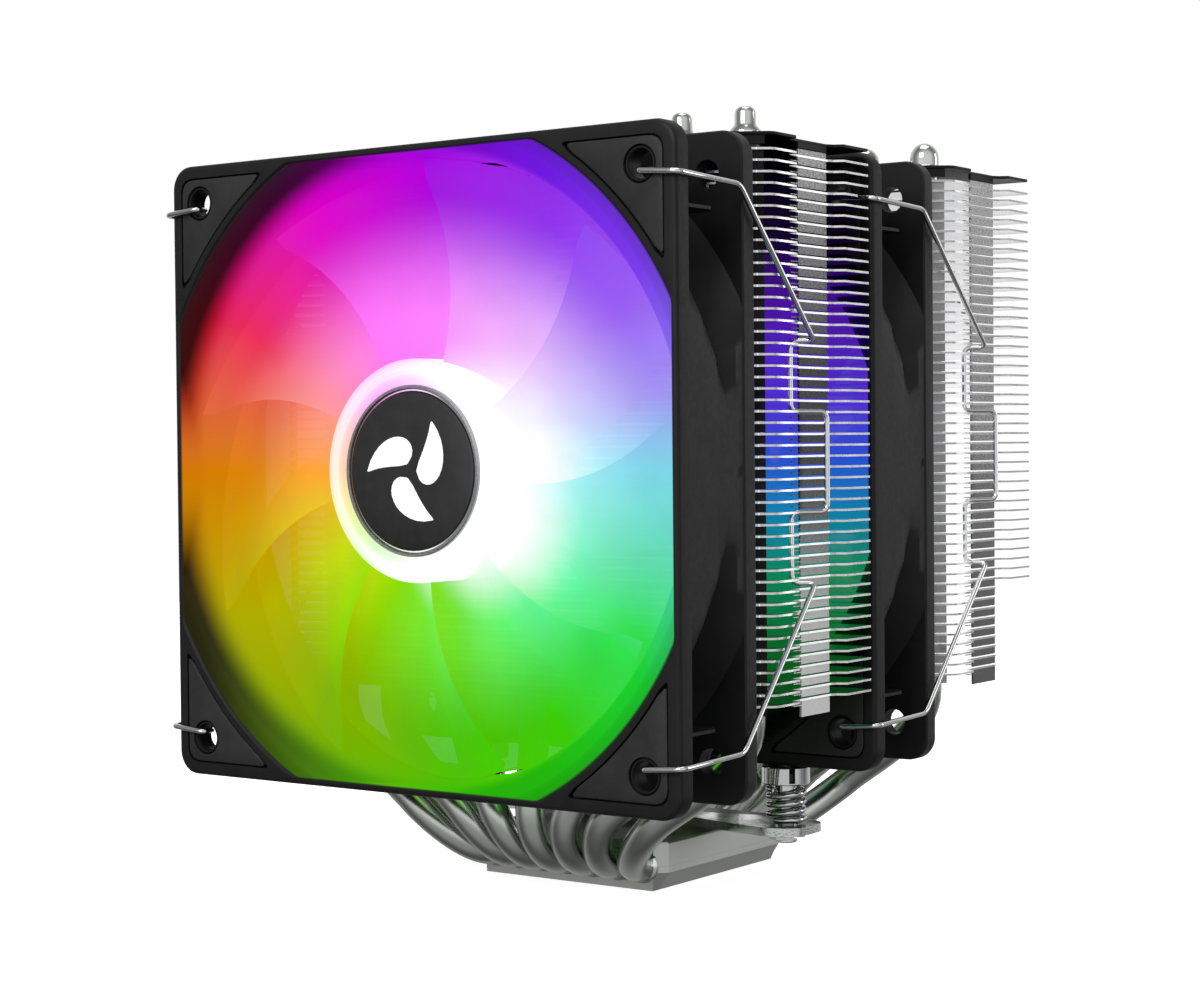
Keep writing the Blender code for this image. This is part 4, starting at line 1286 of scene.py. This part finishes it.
def crossbar(materials):
    """A bar with a narrow waist and rounded ends."""
    low, high = heights("crossbar")
    quarter = [(19.0, 3.6), (28.0, 6.0), (38.5, 7.6), (43.8, 4.9)]
    outline = rounded(mirrored([(x, -y) for x, y in quarter] + quarter[::-1]), 2.2, 5)
    holes = []
    for sign in (-1, 1):
        holes += [circle(2.5, 32, (sign * 38.0, 0.0)), circle(1.7, 24, (sign * 12.0, 0.0))]
    shape = Shape()
    shape.plate(outline, holes, low + 0.3, high)
    obj = piece("bar", shape.mesh("bar"), materials["bar"], "cooler", "polished_steel", "crossbar")
    bevelled(obj, 0.25, 3)


def slotted(profile, sides, centre, slots, turn=0.0):
    """A turned screw with slots, each a box from its low to its high corner, and the slots' place."""
    screw = Shape()
    screw.turned(profile, sides, "Z", centre)
    matrix = Matrix.Translation((*centre, 0.0)) @ Matrix.Rotation(math.radians(turn), 4, "Z")
    cutters = []
    for (left, near, foot), (right, far, top) in slots:
        box, placed = Shape(), Shape()
        box.plate([(left, near), (right, near), (right, far), (left, far)], [], foot, top)
        placed.add(box, matrix)
        cutters.append(placed.mesh("slot"))
    return cut(screw.mesh("screw"), *cutters), matrix


def crossbar_screw(side, materials):
    name = f"crossbar_screw_{side}"
    low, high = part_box(name)
    foot, top = heights(name)
    seat = heights("crossbar")[1] + 0.05
    profile = [(0, foot), (1.1, foot), (1.4, foot + 0.3), (1.4, seat), (2.8, seat), (2.8, top - 0.7)]
    profile += [(2.5, top - 0.2), (1.9, top), (0, top)]
    slots = []
    for length, width in ((1.5, 0.28), (0.28, 1.5)):
        slots.append(((-length, -width, top - 1.0), (length, width, top + 0.5)))
    mesh, _ = slotted(profile, 40, ((low.x + high.x) / 2 / MM, 0.0), slots)
    piece(f"bar_screw_{side}", mesh, materials["chrome"], "cooler", "polished_steel", name)


def mounting_screw(side, materials):
    """A slotted head on a shank, with a groove for its ring and a blind thread in its lower end."""
    centre = [part / MM for part in joint(f"screw_{side}_turn")["pos_m"][:2]]
    profile = [(0, 15.0), (1.25, 14.2), (1.25, 8.6), (1.5, 8.3), (2.0, 8.3), (2.2, 8.5)]
    profile += [(2.2, 8.8), (1.55, 8.8), (1.55, 10.0), (2.2, 10.0), (2.2, 19.7)]
    profile += [(3.4, 20.0), (4.6, 20.0), (4.85, 20.25)]
    profile += [(4.85, HEAD_TOP - 0.2), (4.65, HEAD_TOP), (0, HEAD_TOP)]
    slots = []
    for low, high, foot in ((-6.0, 6.0, 22.2), (-6.0, -3.4, SLOT_FOOT), (3.4, 6.0, SLOT_FOOT)):
        slots.append(((low, -SLOT_HALF, foot), (high, SLOT_HALF, 24.0)))
    mesh, matrix = slotted(profile, 64, centre, slots, SLOT_TURN)
    node = f"mounting_screw_{side}"
    piece(f"screw_{side}", mesh, materials["chrome"], f"screw_{side}", "polished_steel", node)
    # Painted shade: faces inside the slot take the dark slot material
    mesh.materials.append(materials["slot"])
    for face in mesh.polygons:
        spot = matrix.inverted() @ (face.center / MM)
        inside = abs(spot.y) < SLOT_HALF + 0.02 and math.hypot(spot.x, spot.y) < 4.83
        face.material_index = int(inside and SLOT_FOOT - 0.02 < spot.z < HEAD_TOP - 0.05)
    spring(side, centre, materials)
    dress(f"retaining_ring_{side}", materials["wire"])


def spring(side, centre, materials):
    """Four turns of wire round the screw."""
    node = f"screw_spring_{side}"
    low, high = heights(node)
    path = []
    for step in range(int(SPRING_TURNS * 28) + 1):
        angle = math.radians(SPRING_START) + math.tau * step / 28
        rise = (step / 28 - SPRING_FLAT) / (SPRING_TURNS - 2 * SPRING_FLAT)
        height = low + SPRING_WIRE + (high - low - 2 * SPRING_WIRE) * min(max(rise, 0.0), 1.0)
        x, y = polar(SPRING_R, angle)
        path.append(Vector((centre[0] + x, centre[1] + y, height)))
    shape = Shape()
    shape.tube(path, [SPRING_WIRE] * len(path), 12)
    mesh = shape.mesh("spring", sharp=60)
    obj = piece(f"spring_{side}", mesh, materials["spring"], "cooler", "spring_steel", node)
    press = f"screw_{side}_press"
    travel = max(map(abs, joint(press)["range_m"]))
    1 - travel / ((high - low) * MM)
    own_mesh(obj)


# --- Wire clips ---


def clip_corners(sign, stretch):
    """The wire's corners from its upper hook, measured from the fan's face halfway between the holes."""
    upper = (
        (0.0, 1.9, 51.3),
        (0.0, -0.9, 51.3),
        (8.4, -0.9, 50.6),
        (8.4, 18.6, 50.0),
        (8.5, 43.6 + stretch, 22.3),
        (4.8, 41.2 + stretch, 22.3),
        (4.8, 41.2 + stretch, 9.3),
        (8.5, 48.0 + stretch, 9.3),
    )
    corners = [Vector((sign * x, y, z)) for x, y, z in upper]
    corners += [Vector((sign * x, y, -z)) for x, y, z in reversed(upper)]
    for corner in corners:
        corner.z += 1.0 if corner.y > 30 else 0.0
    return corners


def fan_clip(fan, side, materials):
    tower = "front" if fan == "front" else "rear"
    place = FAN_PLACE[fan] / MM
    sign = SIDES[side]
    offset = Vector((sign * 52.5, 0.0, 0.0)) + place
    corners = clip_corners(sign, TOWER_FRONT[tower] - place.y - 25.3)
    path = [point + offset for point in rounded_path(corners, 1.6)]
    radii = [0.38] + [0.52] * (len(path) - 2) + [0.38]
    shape = Shape()
    shape.tube(path, radii, 14)
    body = f"{fan}_clip_{side}"
    mesh = shape.mesh("clip", sharp=60)
    piece(body, mesh, materials["wire"], body, "spring_steel", f"{fan}_fan_clip_{side}")


# --- Studio ---


def floor():
    """A plain pale floor, bright enough to run into the background."""
    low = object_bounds()[0].z / MM
    edges = ((900.0, low - 2.0), (899.0, low - 1.0))
    shape = Shape()
    shape.loft([[(x, y, height) for x, y in circle(radius, 96)] for radius, height in edges])
    finish = Finish("pale_floor", 0.82, 0.8)
    finish.vary("Base Color", finish.noise(60.0), 0.80, 0.84)
    finish.glow(1.0, 0.80)
    finish.set("Specular IOR Level", 0.1)
    mesh = shape.mesh("floor")
    mesh.materials.append(finish.material)
    obj = linked("floor", mesh)
    obj.location.z = 1.0 * MM
    obj.visible_glossy = False
    obj.visible_diffuse = False
    obj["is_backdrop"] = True


def studio_world():
    """White to the eye. What the metal mirrors is a room that is darker below and at its sides."""
    world = bpy.data.worlds.new("studio")
    bpy.context.scene.world = world
    world.use_nodes = True
    world.node_tree.nodes.clear()
    nodes = Nodes(world.node_tree)
    way = nodes.node("TexCoord")
    up = nodes.split(way)[2].between(-1.0, 1.0, smooth=False)
    away = nodes.node("VectorMath", way, (-0.583, 0.813, 0.0), out="Value", operation="DOT_PRODUCT")
    height = ((0.0, 0.34), (0.30, 0.42), (0.42, 0.60), (0.48, 0.90), (0.54, 1.0), (0.7, 1.0), (1.0, 0.85))
    depth = ((0.0, 1.0), (0.20, 0.90), (0.36, 0.42), (0.55, 0.26), (0.66, 0.45), (0.78, 0.80), (1.0, 1.0))
    levels = nodes.ramp(up, height), nodes.ramp(away.between(-1.0, 1.0, smooth=False), depth)
    mirrored_room = nodes.node("Background", nodes.mix(1.0, *levels, "MULTIPLY"))
    seen = nodes.node("LightPath", out="Is Camera Ray")
    both = nodes.node("MixShader", seen, mirrored_room, nodes.node("Background", 1.0))
    nodes.feed(nodes.make("OutputWorld").inputs[0], both)


def lights():
    for name, place, size, power in (
        ("key", (0.1, -1.3, 0.8), (0.8, 0.6), 13.0),
        ("side", (1.0, 0.9, 0.30), (0.35, 0.8), 2.8),
        ("top", (0.0, 0.1, 1.3), (0.8, 0.8), 5.0),
    ):
        data = bpy.data.lights.new(name, "AREA")
        data.shape = "RECTANGLE"
        data.size, data.size_y = size
        data.energy = power
        obj = linked(name, data)
        obj.location = place
        obj.rotation_euler = (Vector((0.0, 0.0, 0.08)) - Vector(place)).to_track_quat("-Z", "Y").to_euler()


def camera():
    """Ahead of the fan's right side and just above the cooler's middle."""
    azimuth, elevation, roll = (math.radians(degrees) for degrees in CAMERA_TURN)
    level = Vector((math.sin(azimuth), math.cos(azimuth), 0.0))
    ahead = level * math.cos(elevation) + Vector((0.0, 0.0, math.sin(elevation)))
    right = ahead.cross(Vector((0, 0, 1))).normalized()
    up = right.cross(ahead)
    across = right * math.cos(roll) + up * math.sin(roll)
    upright = up * math.cos(roll) - right * math.sin(roll)
    data = bpy.data.cameras.new("camera")
    data.sensor_width = 36.0
    data.lens = CAMERA_LENS
    data.clip_start, data.clip_end = 0.01, 20.0
    obj = linked("camera", data)
    turn = Matrix((across, upright, -ahead)).transposed().to_4x4()
    obj.matrix_world = Matrix.Translation(CAMERA_PLACE) @ turn
    bpy.context.scene.camera = obj


def studio():
    camera()
    floor()
    studio_world()
    lights()
    scene = bpy.context.scene
    scene.view_settings.view_transform = "Standard"
    scene.cycles.use_denoising = True


# --- All pieces ---


def build():
    materials = make_materials()
    for fan in FAN_PLACE:
        for make in (fan_frame, corner_pads, impeller, motor_parts):
            make(fan, materials)
        for side in SIDES:
            fan_clip(fan, side, materials)
    for tower in TOWER_FRONT:
        fin_stack(tower, materials)
        top_fin(tower, materials)
    for index in range(-3, 4):
        heat_pipe(index, materials)
    base_plates(materials)
    crossbar(materials)
    for side in SIDES:
        crossbar_screw(side, materials)
        mounting_screw(side, materials)


build()
studio()
